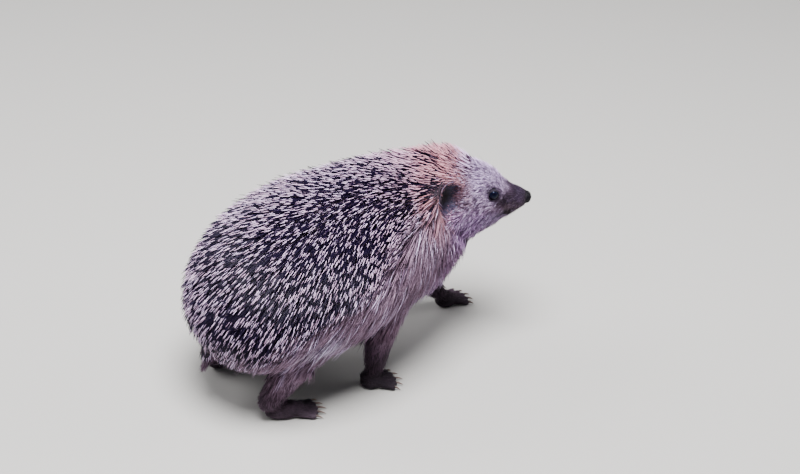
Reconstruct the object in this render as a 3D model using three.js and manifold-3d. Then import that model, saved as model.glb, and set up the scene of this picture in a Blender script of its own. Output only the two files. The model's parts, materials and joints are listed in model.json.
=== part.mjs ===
// A European hedgehog at life size, halted in a slow walk with its head raised and turned a
// little to its right. Millimetres: +X towards the nose, +Y to the animal's left, +Z up.
// The solids reach to the tips of the coat. The soft forms are named masses that blend into one
// another; rays cast from a centre line find their common surface, ring after ring, and the whole
// is then parted into the quilled mantle, the furred trunk, the neck and the head. The origin is
// on the floor, under the middle of the animal.
import * as THREE from "three";
import { mergeVertices } from "three/addons/utils/BufferGeometryUtils.js";
import Module from "manifold-3d";

const wasm = await Module();
wasm.setup();

// ---------------------------------------------------------------- driving dimensions
const GAP = 0.3; // left between neighbours that touch

// The trunk and neck: centre and radii of each mass, and how softly they run together.
const TORSO_BLEND = 26;
const TORSO = {
  rump: { at: [-35, 0, 75], radii: [41, 56, 48] },
  haunches: { at: [-37, 0, 64], radii: [42, 50, 31] },
  barrel: { at: [8, 0, 86], radii: [62, 65, 58] },
  shoulders: { at: [52, 0, 98], radii: [39, 49, 48] },
  nape: { at: [86, 4, 112], radii: [31, 28, 33] },
  chest: { at: [78, 1, 76], radii: [27, 31, 33] },
  throat: { at: [101, 1, 86], radii: [16, 19, 18] },
};

// The head has a frame of its own: its origin is midway between the ears, u points to the nose,
// v to the animal's left and w up. Angles are in degrees.
const NECK_BLEND = 14;
const HEAD_BLEND = 8;
const HEAD = { at: [107.8, 1.7, 115.1], yaw: -25, pitch: -9 };
const HEAD_MASSES = {
  cranium: { at: [3, 0, 2], radii: [26, 22.5, 22] },
  crown: { at: [-8, 0, 4], radii: [22, 24, 25] },
  forehead: { at: [20, 0, 1.5], radii: [19, 17, 17.5] },
  cheekLeft: { at: [16, 11, -6], radii: [17, 10, 12] },
  cheekRight: { at: [16, -11, -6], radii: [17, 10, 12] },
  muzzle: { at: [33, 0, -3.5], radii: [20, 10, 10.5] },
  snout: { at: [47, 0, -1.4], radii: [11.5, 5.6, 5.7] },
  chin: { at: [36, 0, -8.5], radii: [14.5, 6.6, 6.2] },
  ruff: { at: [21, 0, -17], radii: [17, 13, 11] },
};
const NOSE = { at: [53.2, 0, -1], radii: [4.6, 4.5, 4.3] };
const NOSTRIL = { at: [57.1, 2, -1.3], radii: [1.6, 0.75, 0.95] };
const MOUTH = { corner: 38, front: 60, cornerHeight: -11, frontHeight: -3.6, slit: 0.5 };
const EYE = { u: 28.4, w: 6.2, radius: 3.7, sunk: 1.2 };
const EAR = {
  at: [-5, 27, 4],
  width: 19,
  height: 27,
  depth: 8,
  wall: 1.6,
  opensOutward: 56,
  leansBack: 8,
};

// The line the body's rings are strung on: points of the trunk, then stations along the head.
const TRUNK_AXIS = [
  [-58, 0, 72],
  [-10, 0, 82],
  [40, 0, 92],
  [78, 0, 104],
];
const HEAD_STATIONS = [0, 30, 60];

// Where neighbours part: the shoulder by a leaning plane, the head by one behind the jaw, the
// mantle by its lower edge, seen from the side, and by a plane across the crown.
const SHOULDER = { x: 74, lean: 20 };
const NAPE = { u: -3, lean: 38 };
const SNOUT_END = 54;
const CROWN_END = 9;
const SKIRT_LINE = [
  [-110, 36],
  [-56, 57],
  [-27, 75],
  [0, 89],
  [30, 97],
  [50, 114],
  [64, 121],
  [82, 123],
  [96, 133],
  [114, 136],
];

// Legs: points [x, y, z, radius] from hip or shoulder to ankle or wrist, then the foot.
const LEGS = {
  foreleg_right: {
    joints: [
      [50, -30, 74, 17],
      [36, -37, 43, 10],
      [32, -34, 14, 6.8],
    ],
    foot: { name: "forefoot_right", kind: "fore", at: [28, -34], heading: -12 },
  },
  foreleg_left: {
    joints: [
      [64, 27, 76, 17],
      [88, 34, 46, 10.5],
      [117, 31, 14, 6.8],
    ],
    foot: { name: "forefoot_left", kind: "fore", at: [122, 31], heading: 6 },
  },
  hindleg_right: {
    joints: [
      [-40, -31, 66, 24],
      [-24, -39, 43, 13],
      [-47, -37, 14, 7.4],
    ],
    foot: { name: "hindfoot_right", kind: "hind", at: [-37, -38], heading: -14 },
  },
  hindleg_left: {
    joints: [
      [-42, 31, 66, 24],
      [-34, 39, 42, 13],
      [-58, 35, 14, 7.4],
    ],
    foot: { name: "hindfoot_left", kind: "hind", at: [-48, 36], heading: 13 },
  },
};
const ANKLE_HEIGHT = 15; // where leg and foot part
const TOES = 5;
const FEET = {
  fore: { palm: [9.5, 8, 6.4], toe: 7.5, toeRadius: 2.5, fan: 60, claw: 5, clawRadius: 1.15 },
  hind: { palm: [15, 7.6, 6.4], toe: 8, toeRadius: 2.5, fan: 40, claw: 6, clawRadius: 1.15 },
};
const FLAT = 2; // depth by which the palm is pressed flat on the floor
const TOE_FLAT = 0.6;

const TAIL = { root: [-62, 0, 48, 6], tip: [-77, 0, 27, 2.6] };

// Colour and roughness of each finish.
const FINISHES = {
  quills: [0x6a5650, 0.55],
  fur: [0x9a7f72, 0.85],
  face: [0x9b8b90, 0.85],
  limb: [0x4e3c38, 0.8],
  ear: [0x3c3638, 0.6],
  eye: [0x07060a, 0.08],
  nose: [0x141116, 0.35],
};

// ---------------------------------------------------------------- fields
const { degToRad } = THREE.MathUtils;
const vec = ([x, y, z]) => new THREE.Vector3(x, y, z);
const X = new THREE.Vector3(1, 0, 0);
const Y = new THREE.Vector3(0, 1, 0);
const Z = new THREE.Vector3(0, 0, 1);

// Signed distance to an ellipsoid, close enough near its surface.
function ellipsoidDistance(p, { at, radii }) {
  const q = [(p.x - at[0]) / radii[0], (p.y - at[1]) / radii[1], (p.z - at[2]) / radii[2]];
  const reach = Math.hypot(...q);
  if (reach < 1e-6) return -Math.min(...radii);
  return (reach * (reach - 1)) / Math.hypot(q[0] / radii[0], q[1] / radii[1], q[2] / radii[2]);
}

function softMin(a, b, width) {
  const overlap = Math.max(width - Math.abs(a - b), 0) / width;
  return Math.min(a, b) - (overlap * overlap * width) / 4;
}

const blended = (masses, width) => (p) =>
  Object.values(masses).reduce((d, mass) => softMin(d, ellipsoidDistance(p, mass), width), 1e3);

const headFrame = new THREE.Matrix4()
  .makeTranslation(...HEAD.at)
  .multiply(new THREE.Matrix4().makeRotationZ(degToRad(HEAD.yaw)))
  .multiply(new THREE.Matrix4().makeRotationY(degToRad(-HEAD.pitch)));
const intoHead = headFrame.clone().invert();
const trunkField = blended(TORSO, TORSO_BLEND);
const headField = blended(HEAD_MASSES, HEAD_BLEND);
const bodyField = (p) =>
  softMin(trunkField(p), headField(p.clone().applyMatrix4(intoHead)), NECK_BLEND);

// How far from origin, along direction, the body's surface is; swell moves that surface out.
function reachOf(origin, direction, furthest, swell = 0) {
  const inside = (d) => bodyField(origin.clone().addScaledVector(direction, d)) < swell;
  const steps = 60;
  let step = steps;
  while (step > 1 && !inside((furthest * (step - 1)) / steps)) step--;
  let inner = (furthest * (step - 1)) / steps;
  let outer = (furthest * step) / steps;
  for (let i = 0; i < 24; i++) {
    const middle = (inner + outer) / 2;
    if (inside(middle)) inner = middle;
    else outer = middle;
  }
  return (inner + outer) / 2;
}

// ---------------------------------------------------------------- solids
function solidFrom(points, triangles) {
  return new wasm.Manifold(
    new wasm.Mesh({
      numProp: 3,
      vertProperties: new Float32Array(points.flatMap((p) => [p.x, p.y, p.z])),
      triVerts: new Uint32Array(triangles),
    }),
  );
}

function solidOf(geometry) {
  const bare = geometry.clone();
  bare.deleteAttribute("normal");
  bare.deleteAttribute("uv");
  const merged = mergeVertices(bare, 1e-4);
  return new wasm.Manifold(
    new wasm.Mesh({
      numProp: 3,
      vertProperties: merged.attributes.position.array,
      triVerts: new Uint32Array(merged.index.array),
    }),
  );
}

function geometryOf(solid) {
  const { vertProperties, triVerts } = solid.getMesh();
  const geometry = new THREE.BufferGeometry();
  geometry.setAttribute("position", new THREE.BufferAttribute(vertProperties, 3));
  geometry.setIndex(new THREE.BufferAttribute(triVerts, 1));
  geometry.computeVertexNormals();
  return geometry;
}

// A solid skinned over rings of points, closed at each end by a fan to one point.
function skinned(rings, first, last) {
  const count = rings[0].length;
  const lastRing = rings.length - 1;
  const points = [first, ...rings.flat(), last];
  const at = (ring, i) => 1 + ring * count + (i % count);
  const triangles = [];
  for (let i = 0; i < count; i++) {
    triangles.push(0, at(0, i + 1), at(0, i));
    for (let ring = 0; ring < lastRing; ring++) {
      const [a, b, c, d] = [at(ring, i), at(ring, i + 1), at(ring + 1, i + 1), at(ring + 1, i)];
      triangles.push(a, b, c, a, c, d);
    }
    triangles.push(points.length - 1, at(lastRing, i), at(lastRing, i + 1));
  }
  return solidFrom(points, triangles);
}

// One ring of the body's surface, in the upright plane through centre that lies across along.
function bodyRing(centre, along, segments, swell) {
  const side = Z.clone().cross(along).normalize();
  return Array.from({ length: segments }, (_, i) => {
    const turn = (2 * Math.PI * i) / segments;
    const ray = side.clone().multiplyScalar(Math.cos(turn)).addScaledVector(Z, Math.sin(turn));
    return centre.clone().addScaledVector(ray, reachOf(centre, ray, 110, swell));
  });
}

function ball(at, radii, segments = 12) {
  const geometry = new THREE.SphereGeometry(1, segments, Math.round(segments * 0.6));
  geometry.rotateX(Math.PI / 2).scale(...radii).translate(...at);
  return solidOf(geometry);
}

// A tapered length of limb with round ends, between two points [x, y, z, radius].
function bone(from, to, segments = 10, arc = 2) {
  const along = vec(to).sub(vec(from));
  const length = along.length();
  const profile = [new THREE.Vector2(0, -from[3])];
  for (let i = 1; i <= arc; i++) {
    const turn = (Math.PI / 2) * (i / arc - 1);
    profile.push(new THREE.Vector2(from[3] * Math.cos(turn), from[3] * Math.sin(turn)));
  }
  for (let i = 0; i < arc; i++) {
    const turn = (Math.PI / 2) * (i / arc);
    profile.push(new THREE.Vector2(to[3] * Math.cos(turn), length + to[3] * Math.sin(turn)));
  }
  profile.push(new THREE.Vector2(0, length + to[3]));
  const turn = new THREE.Quaternion().setFromUnitVectors(Y, along.normalize());
  return solidOf(
    new THREE.LatheGeometry(profile, segments).applyQuaternion(turn).translate(...from.slice(0, 3)),
  );
}

// Everything on the side of a plane that its normal points to.
function beyond(point, normal) {
  const size = 600;
  const turn = new THREE.Quaternion().setFromUnitVectors(Z, normal.clone().normalize());
  const centre = point.clone().addScaledVector(normal.clone().normalize(), size / 2);
  return solidOf(
    new THREE.BoxGeometry(size, size, size).applyQuaternion(turn).translate(...centre.toArray()),
  );
}

const moved = (solid, matrix) => solidOf(geometryOf(solid).applyMatrix4(matrix));

// ---------------------------------------------------------------- body
const inHead = (u, v, w) => new THREE.Vector3(u, v, w).applyMatrix4(headFrame);
const alongHead = (lean) =>
  new THREE.Vector3(Math.cos(lean), 0, Math.sin(lean)).transformDirection(headFrame);
const bodyAxis = new THREE.CatmullRomCurve3([
  ...TRUNK_AXIS.map(vec),
  ...HEAD_STATIONS.map((u) => inHead(u, 0, -1)),
]);

// The whole body from rump to snout; swell makes it that much fuller all round.
function bodySolid(swell = 0) {
  const segments = 30;
  const endRings = 6;
  const trunkRings = 12;
  const headRings = 16;
  const neckShare = 0.62; // of the axis, rump to neck
  const start = bodyAxis.getPointAt(0);
  const backward = new THREE.Vector3(-1, 0, 0);
  const endReach = reachOf(start, backward, 60, swell);
  const rings = [];
  for (let i = 1; i <= endRings; i++) {
    const share = Math.cos((Math.PI / 2) * (i / (endRings + 1)));
    rings.push(bodyRing(start.clone().addScaledVector(backward, endReach * share), X, segments, swell));
  }
  for (let i = 0; i <= trunkRings + headRings; i++) {
    const onHead = i > trunkRings;
    const share = onHead ? (i - trunkRings) / headRings : i / trunkRings;
    const t = onHead ? neckShare + (1 - neckShare) * share : neckShare * share;
    const along = bodyAxis.getTangentAt(t).setZ(0).normalize();
    rings.push(bodyRing(bodyAxis.getPointAt(t), along, segments, swell));
  }
  return skinned(rings, start.clone().addScaledVector(backward, endReach), bodyAxis.getPointAt(1));
}

// Everything above the mantle's lower edge and behind the crown's; drop moves both edges out.
function mantleRegion(drop) {
  const edge = new THREE.SplineCurve(SKIRT_LINE.map(([x, z]) => new THREE.Vector2(x, z - drop)));
  const [frontX, frontZ] = SKIRT_LINE.at(-1);
  const top = 300;
  const shape = new THREE.Shape(edge.getPoints(28));
  shape.lineTo(frontX + 60, frontZ - drop);
  shape.lineTo(frontX + 60, top);
  shape.lineTo(SKIRT_LINE[0][0], top);
  const width = 240;
  return solidOf(
    new THREE.ExtrudeGeometry(shape, { depth: width, bevelEnabled: false })
      .rotateX(Math.PI / 2)
      .translate(0, width / 2, 0),
  ).subtract(beyond(inHead(CROWN_END + drop, 0, 0), alongHead(0.35)));
}

// The mouth is closed: a thin slit that rises to the nose parts the lower jaw from the head.
function mouthSlit() {
  const { corner, front, cornerHeight, frontHeight, slit } = MOUTH;
  const length = front - corner;
  const geometry = new THREE.BoxGeometry(length, 40, slit);
  geometry.rotateY(-Math.atan2(frontHeight - cornerHeight, length));
  geometry.translate((corner + front) / 2, 0, (cornerHeight + frontHeight) / 2);
  return solidOf(geometry.applyMatrix4(headFrame));
}

// The jaw ends in a cut at the mouth's corner, straight down from the slit.
function jawRegion() {
  const { corner, front, cornerHeight, frontHeight, slit } = MOUTH;
  const depth = 30;
  const shape = new THREE.Shape([
    new THREE.Vector2(corner, cornerHeight + slit / 4),
    new THREE.Vector2(corner, cornerHeight - depth),
    new THREE.Vector2(front, frontHeight - depth),
    new THREE.Vector2(front, frontHeight + slit / 4),
  ]);
  const width = 40;
  return solidOf(
    new THREE.ExtrudeGeometry(shape, { depth: width, bevelEnabled: false })
      .rotateX(Math.PI / 2)
      .translate(0, width / 2, 0)
      .applyMatrix4(headFrame),
  );
}

// Where the head's side surface is, level with the eye.
function eyeCentre(side) {
  const origin = inHead(EYE.u, 0, EYE.w);
  const outward = Y.clone().multiplyScalar(side).transformDirection(headFrame);
  return origin.addScaledVector(outward, reachOf(origin, outward, 40) - EYE.sunk);
}

const eyeball = (side, radius) => ball(eyeCentre(side).toArray(), [radius, radius, radius], 14);

const earFrame = (side) =>
  new THREE.Matrix4()
    .makeTranslation(EAR.at[0], side * EAR.at[1], EAR.at[2])
    .multiply(new THREE.Matrix4().makeRotationZ(side * degToRad(EAR.opensOutward)))
    .multiply(new THREE.Matrix4().makeRotationY(-degToRad(EAR.leansBack)))
    .premultiply(headFrame);

// The pinna is a cup of thin skin, half an ellipsoid deep, open forwards and outwards. A point
// of it: how far inside the outer skin, how far from its deepest point to its rim, which way.
function earPoint(inset, share, turn, ahead = 0) {
  const out = Math.sin((Math.PI / 2) * share);
  const narrowing = 1 - 0.14 * Math.sin(turn) ** 2;
  return new THREE.Vector3(
    ahead - (EAR.depth - inset) * Math.cos((Math.PI / 2) * share),
    (EAR.width / 2 - inset) * narrowing * out * Math.cos(turn),
    (EAR.height / 2 - inset) * out * Math.sin(turn),
  );
}

const earShares = [0.25, 0.5, 0.75, 1];

function earRing(inset, share, ahead) {
  const around = 16;
  return Array.from({ length: around }, (_, i) =>
    earPoint(inset, share, (2 * Math.PI * i) / around, ahead),
  );
}

function earSolid(side) {
  const rings = [
    ...earShares.map((share) => earRing(0, share)),
    ...earShares.toReversed().map((share) => earRing(EAR.wall, share)),
  ];
  return moved(skinned(rings, earPoint(0, 0, 0), earPoint(EAR.wall, 0, 0)), earFrame(side));
}

// The room the ear takes up in the head, carried on out of its opening.
function earHollow(side) {
  const mouth = 12;
  const rings = [...earShares.map((share) => earRing(-GAP, share)), earRing(-GAP, 1, mouth)];
  return moved(
    skinned(rings, earPoint(-GAP, 0, 0), new THREE.Vector3(mouth, 0, 0)),
    earFrame(side),
  );
}

const sides = { left: 1, right: -1 };
const shoulderLean = degToRad(SHOULDER.lean);
const shoulderNormal = new THREE.Vector3(Math.cos(shoulderLean), 0, Math.sin(shoulderLean));
const shoulderPoint = new THREE.Vector3(SHOULDER.x, 0, TORSO.chest.at[2]);
const napeNormal = alongHead(degToRad(NAPE.lean));

const nostrils = Object.values(sides).map((side) => {
  const [u, v, w] = NOSTRIL.at;
  return moved(ball([u, side * v, w], NOSTRIL.radii, 8), headFrame);
});
const pits = Object.values(sides).flatMap((side) => [
  eyeball(side, EYE.radius + GAP),
  earHollow(side),
]);
const body = pits
  .reduce((solid, pit) => solid.subtract(pit), bodySolid())
  .subtract(beyond(inHead(SNOUT_END - GAP / 2, 0, 0), alongHead(0)));
const clearance = bodySolid(GAP);
const mantle = body.intersect(mantleRegion(0));
const furred = body.subtract(mantleRegion(GAP));
const trunk = furred.subtract(beyond(shoulderPoint, shoulderNormal));
const neck = furred
  .intersect(beyond(shoulderPoint.clone().addScaledVector(shoulderNormal, GAP), shoulderNormal))
  .subtract(beyond(inHead(NAPE.u - GAP, 0, 0), napeNormal));
const faceAndJaw = furred.intersect(beyond(inHead(NAPE.u, 0, 0), napeNormal));
const head = faceAndJaw.subtract(jawRegion()).subtract(mouthSlit());
const lowerJaw = faceAndJaw.intersect(jawRegion()).subtract(mouthSlit());
const nose = nostrils.reduce(
  (solid, nostril) => solid.subtract(nostril),
  moved(ball(NOSE.at, NOSE.radii, 12), headFrame).intersect(
    beyond(inHead(SNOUT_END + GAP / 2, 0, 0), alongHead(0)),
  ),
);

// ---------------------------------------------------------------- legs and feet
// A toe and its claw, tapering from the knuckle at from, through the toe's tip at to.
function toeSolid(from, to, radius, { claw, clawRadius }) {
  const along = vec(to).sub(vec(from));
  const length = along.length();
  const profile = [
    [0, -radius],
    [radius, -0.3 * radius],
    [radius, length * 0.6],
    [radius * 0.8, length + radius * 0.5],
    [clawRadius, length + radius * 0.9],
    [0.4, length + radius + claw],
    [0, length + radius + claw + 0.3],
  ].map(([across, up]) => new THREE.Vector2(across, up));
  const turn = new THREE.Quaternion().setFromUnitVectors(Y, along.normalize());
  return solidOf(new THREE.LatheGeometry(profile, 5).applyQuaternion(turn).translate(...from));
}

// A foot takes in the end of its leg, and is pressed flat where it meets the floor.
function footSolid({ kind, at, heading }, leg) {
  const shape = FEET[kind];
  const { palm, toe, toeRadius, fan } = shape;
  const toeHeight = toeRadius - TOE_FLAT;
  const pieces = [ball([0, 0, palm[2] - FLAT], palm, 10)];
  for (let i = 0; i < TOES; i++) {
    const spread = i / (TOES - 1) - 0.5;
    const turn = degToRad(fan * spread);
    const along = (distance, height) => [
      palm[0] * 0.35 + distance * Math.cos(turn),
      palm[1] * 1.1 * spread + distance * Math.sin(turn),
      height,
    ];
    const knuckle = along(palm[0] * 0.2 + 2, toeHeight + 1.2);
    const tip = along(palm[0] * 0.45 + toe * (1 - 0.9 * spread ** 2), toeHeight);
    pieces.push(toeSolid(knuckle, tip, toeRadius, shape));
  }
  const place = new THREE.Matrix4()
    .makeTranslation(...at, 0)
    .multiply(new THREE.Matrix4().makeRotationZ(degToRad(heading)));
  const paw = pieces.reduce((a, b) => a.add(b));
  return moved(paw, place)
    .add(leg)
    .intersect(beyond(new THREE.Vector3(), Z))
    .subtract(beyond(new THREE.Vector3(0, 0, ANKLE_HEIGHT - GAP / 2), Z));
}

// ---------------------------------------------------------------- the model
const hedgehog = new THREE.Group();

function addPart(name, solid, finish) {
  const [color, roughness] = FINISHES[finish];
  const material = new THREE.MeshStandardMaterial({ color, roughness, metalness: 0 });
  const mesh = new THREE.Mesh(geometryOf(solid), material);
  mesh.name = name;
  hedgehog.add(mesh);
}

addPart("mantle", mantle, "quills");
addPart("trunk", trunk, "fur");
addPart("neck", neck, "fur");
addPart("tail", bone(TAIL.root, TAIL.tip, 10).subtract(clearance), "limb");
addPart("head", head, "face");
addPart("lower_jaw", lowerJaw, "face");
addPart("nose", nose, "nose");
for (const [name, side] of Object.entries(sides)) {
  addPart(`eye_${name}`, eyeball(side, EYE.radius), "eye");
  addPart(`ear_${name}`, earSolid(side), "ear");
}
for (const [name, { joints, foot }] of Object.entries(LEGS)) {
  const bones = joints.slice(1).map((joint, i) => bone(joints[i], joint));
  const leg = bones.reduce((a, b) => a.add(b)).subtract(clearance);
  const ankle = new THREE.Vector3(0, 0, ANKLE_HEIGHT + GAP / 2);
  addPart(name, leg.intersect(beyond(ankle, Z)), "limb");
  addPart(foot.name, footSolid(foot, leg), "limb");
}

// The origin goes to the middle of the animal's base.
const middle = new THREE.Box3().setFromObject(hedgehog).getCenter(new THREE.Vector3());
hedgehog.position.set(-middle.x, -middle.y, 0);

export default hedgehog;
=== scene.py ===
import json
import math

import bpy
import numpy as np
from mathutils import Matrix, Vector, kdtree
from mathutils.bvhtree import BVHTree


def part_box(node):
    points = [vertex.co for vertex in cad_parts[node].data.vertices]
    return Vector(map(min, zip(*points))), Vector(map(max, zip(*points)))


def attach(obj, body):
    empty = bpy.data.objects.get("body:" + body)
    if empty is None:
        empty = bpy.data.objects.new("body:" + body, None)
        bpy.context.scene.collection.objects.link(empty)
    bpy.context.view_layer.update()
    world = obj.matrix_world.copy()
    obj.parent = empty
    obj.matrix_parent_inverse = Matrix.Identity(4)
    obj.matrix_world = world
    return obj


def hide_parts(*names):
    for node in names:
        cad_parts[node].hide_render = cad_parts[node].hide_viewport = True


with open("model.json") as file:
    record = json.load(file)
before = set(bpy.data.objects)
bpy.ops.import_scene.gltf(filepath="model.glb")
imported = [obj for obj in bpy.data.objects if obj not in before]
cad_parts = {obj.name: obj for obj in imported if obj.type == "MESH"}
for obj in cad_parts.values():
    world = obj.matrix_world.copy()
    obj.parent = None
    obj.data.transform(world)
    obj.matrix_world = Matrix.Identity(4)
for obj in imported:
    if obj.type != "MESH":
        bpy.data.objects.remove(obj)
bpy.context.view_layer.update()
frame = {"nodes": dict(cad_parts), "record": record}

# ---------------------------------------------------------------- the body under the coat
# A life-size hedgehog, halted in its walk. The skin is one surface from nose to tail and down to
# the toes: copies of the flesh solids, joined and drawn in by the depth of the coat, so that
# hair and quills end where the solids do. The feet are remade without their claws.
MM = 0.001
TRUNK_NODES = ["mantle", "trunk", "neck", "head", "lower_jaw", "tail"]
LEG_NODES = ["foreleg_right", "foreleg_left", "hindleg_right", "hindleg_left"]
SIDES = {"left": 1, "right": -1}

# The head's own directions: forward along the muzzle, to the animal's left, and up.
HEAD_TURN = math.radians(-25)
HEAD_DIP = math.radians(9)
EYE_FORWARD, EYE_UP = 28.4 * MM, 6.2 * MM
head_turn = Matrix.Rotation(HEAD_TURN, 3, "Z") @ Matrix.Rotation(HEAD_DIP, 3, "Y")
head_axes = np.array(head_turn)


def middle_of(node):
    low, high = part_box(node)
    return np.array((low + high) / 2)


eye_places = {side: middle_of("eye_" + side) for side in SIDES}
eye_middle = (eye_places["left"] + eye_places["right"]) / 2
head_middle = eye_middle - head_axes @ np.array([EYE_FORWARD, 0, EYE_UP])


def in_head(points):
    """Places as the head sees them: ahead of the ears, to its left, above its middle."""
    return (points - head_middle) @ head_axes


def from_head(*place):
    """A place given in millimetres along the head's own directions."""
    return head_middle + head_axes @ (np.array(place) * MM)


def only(obj):
    bpy.ops.object.select_all(action="DESELECT")
    obj.select_set(True)
    bpy.context.view_layer.objects.active = obj


def linked(obj):
    bpy.context.scene.collection.objects.link(obj)
    return obj


def twin(source, name):
    """A copy of an object, with a mesh of its own."""
    return linked(bpy.data.objects.new(name, source.data.copy()))


def apply_modifier(obj, kind, **settings):
    only(obj)
    modifier = obj.modifiers.new(kind.lower(), kind)
    for key, value in settings.items():
        setattr(modifier, key, value)
    bpy.ops.object.modifier_apply(modifier=modifier.name)


def reshape(obj, operator, **settings):
    """Runs one edit-mode operator on the whole of obj."""
    only(obj)
    bpy.ops.object.mode_set(mode="EDIT")
    bpy.ops.mesh.select_all(action="SELECT")
    operator(**settings)
    bpy.ops.object.mode_set(mode="OBJECT")


def joined(objects, name):
    bpy.ops.object.select_all(action="DESELECT")
    for obj in objects:
        obj.select_set(True)
    bpy.context.view_layer.objects.active = objects[0]
    bpy.ops.object.join()
    objects[0].name = objects[0].data.name = name
    return objects[0]


def settle(obj):
    """Puts the object's place and turn into its mesh."""
    only(obj)
    bpy.ops.object.transform_apply(location=True, rotation=True, scale=True)
    return obj


def mass(place, radii, turn=head_turn, segments=32):
    """A rounded mass of flesh. Its radii are in millimetres, along turn's own directions."""
    bpy.ops.mesh.primitive_uv_sphere_add(segments=segments, ring_count=segments // 2)
    ball = bpy.context.object
    size = Matrix.Diagonal([radius * MM for radius in radii])
    ball.matrix_world = Matrix.Translation(place) @ turn.to_4x4() @ size.to_4x4()
    return settle(ball)


def region(obj, name):
    """Marks the whole of obj as one region of the body."""
    group = obj.vertex_groups.new(name=name)
    group.add(range(len(obj.data.vertices)), 1.0, "REPLACE")
    return obj


FLESH_WELD = 0.01 * MM
FLESH_SWELL = 0.4 * MM


def flesh_copy(node):
    """A copy of a solid, swollen a little so that it fuses with its neighbours."""
    copy = twin(frame["nodes"][node], "flesh_" + node)
    reshape(copy, bpy.ops.mesh.remove_doubles, threshold=FLESH_WELD)
    apply_modifier(copy, "DISPLACE", strength=FLESH_SWELL, mid_level=0.0)
    return copy


# Palm or heel, then five toes that fan out in front: sizes in millimetres, angles in degrees.
FEET = {
    "fore": {"palm": (8.2, 7.6, 5.2), "toe": 8.5, "thick": 2.4, "fan": 56, "claw": 6.5, "on": 2.0},
    "hind": {"palm": (14, 7.2, 5.4), "toe": 8.5, "thick": 2.4, "fan": 38, "claw": 7.5, "on": 1.5},
}
HEADINGS = {"forefoot_right": -12, "forefoot_left": 6, "hindfoot_right": -14, "hindfoot_left": 13}
TOES = 5
KNUCKLE_HIGH, TOE_TIP_HIGH = 3.4, 2.1
PALM_SUNK = 1.4
TOE_FLATTENED = 0.95
TOE_PADS = [(0.1, 4.4, 1.12), (0.55, 3.4, 0.98), (0.95, 3.1, 1.04)]  # share of toe, length, girth
CUFF_FROM = 8 * MM
soles = {mount["name"][5:]: Vector(mount["pos_m"]) for mount in frame["record"]["mounts"]}


def foot_size(foot):
    return FEET["fore" if foot.startswith("fore") else "hind"]


def foot_turn(foot):
    return Matrix.Rotation(math.radians(HEADINGS[foot]), 3, "Z")


def toe_line(foot, i):
    """From a toe's knuckle to its tip, in millimetres in the foot's own directions."""
    size = foot_size(foot)
    spread = i / (TOES - 1) - 0.5
    turn = math.radians(size["fan"] * spread)
    start = Vector((size["palm"][0] * 0.35 + size["on"], size["palm"][1] * 1.2 * spread, 0))
    ahead = Vector((math.cos(turn), math.sin(turn), 0))
    knuckle = start + ahead * (size["palm"][0] * 0.2 + 2) + Vector((0, 0, KNUCKLE_HIGH))
    tip = start + ahead * (size["palm"][0] * 0.45 + size["toe"] * (1 - 0.9 * spread**2))
    return knuckle, tip + Vector((0, 0, TOE_TIP_HIGH)), turn


def foot_flesh(foot):
    size, turn, sole = foot_size(foot), foot_turn(foot), soles[foot]
    thick, palm_high = size["thick"], (size["palm"][2] - PALM_SUNK) * MM
    palm = turn @ Vector((size["on"] * MM, 0, 0)) + Vector((0, 0, palm_high))
    parts = [mass(sole + palm, size["palm"], turn)]
    for i in range(TOES):
        knuckle, tip, angle = toe_line(foot, i)
        toe_turn = turn @ Matrix.Rotation(angle, 3, "Z")
        for share, length, girth in TOE_PADS:
            place = sole + turn @ (knuckle.lerp(tip, share) * MM)
            radii = (length, thick * girth, thick * girth * TOE_FLATTENED)
            parts.append(mass(place, radii, toe_turn, 16))
    return parts


flesh = [region(flesh_copy(node), node) for node in TRUNK_NODES + LEG_NODES]
for foot in HEADINGS:
    flesh += [region(part, "foot") for part in foot_flesh(foot)]
    cuff = flesh_copy(foot)
    level = {"plane_co": (0, 0, CUFF_FROM), "plane_no": (0, 0, 1)}
    reshape(cuff, bpy.ops.mesh.bisect, clear_inner=True, use_fill=True, **level)
    flesh.append(region(cuff, "foot"))

# Forms of the face just under its surface: middles and half sizes in millimetres.
PAIRED_FORMS = [
    ((43.5, 4.4, -4.2), (8, 4, 3.9)),  # whisker pads
    ((27.5, 11.2, 9.2), (7.5, 3.6, 3.2)),  # brows
    ((36, 6.8, -8.2), (7, 3.6, 3.4)),  # corners of the lips
]
MIDDLE_FORMS = [
    ("lower_jaw", (42, 0, -10.2), (8, 5.0, 3.4)),  # chin
    ("head", (46.5, 0, -1.8), (6.8, 8.0, 7.6)),  # muzzle
    ("head", (50, 0, -1.3), (4.6, 6.6, 6.2)),  # seat of the nose
]
for sign in SIDES.values():
    for (ahead, aside, above), radii in PAIRED_FORMS:
        flesh.append(region(mass(from_head(ahead, sign * aside, above), radii), "head"))
for bone, place, radii in MIDDLE_FORMS:
    flesh.append(region(mass(from_head(*place), radii), bone))

SKIN_GRAIN = 0.85 * MM
source_flesh = joined(flesh, "flesh")
skin = twin(source_flesh, "skin")
skin.data.name = "skin"
apply_modifier(skin, "REMESH", mode="VOXEL", voxel_size=SKIN_GRAIN, use_smooth_shade=True)
skin.vertex_groups.clear()
for group in source_flesh.vertex_groups:
    skin.vertex_groups.new(name=group.name)
apply_modifier(
    skin,
    "DATA_TRANSFER",
    object=source_flesh,
    use_vert_data=True,
    data_types_verts={"VGROUP_WEIGHTS"},
    vert_mapping="POLYINTERP_NEAREST",
    layers_vgroup_select_src="ALL",
    layers_vgroup_select_dst="NAME",
)
bpy.data.objects.remove(source_flesh)


def vectors_of(obj, kind):
    """The places (co) or normals of all the vertices."""
    values = np.empty(len(obj.data.vertices) * 3)
    obj.data.vertices.foreach_get(kind, values)
    return values.reshape(-1, 3)


def places_of(obj):
    return vectors_of(obj, "co")


def normals_of(obj):
    return vectors_of(obj, "normal")


def put_places(obj, places):
    obj.data.vertices.foreach_set("co", places.ravel())
    obj.data.update()


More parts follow.
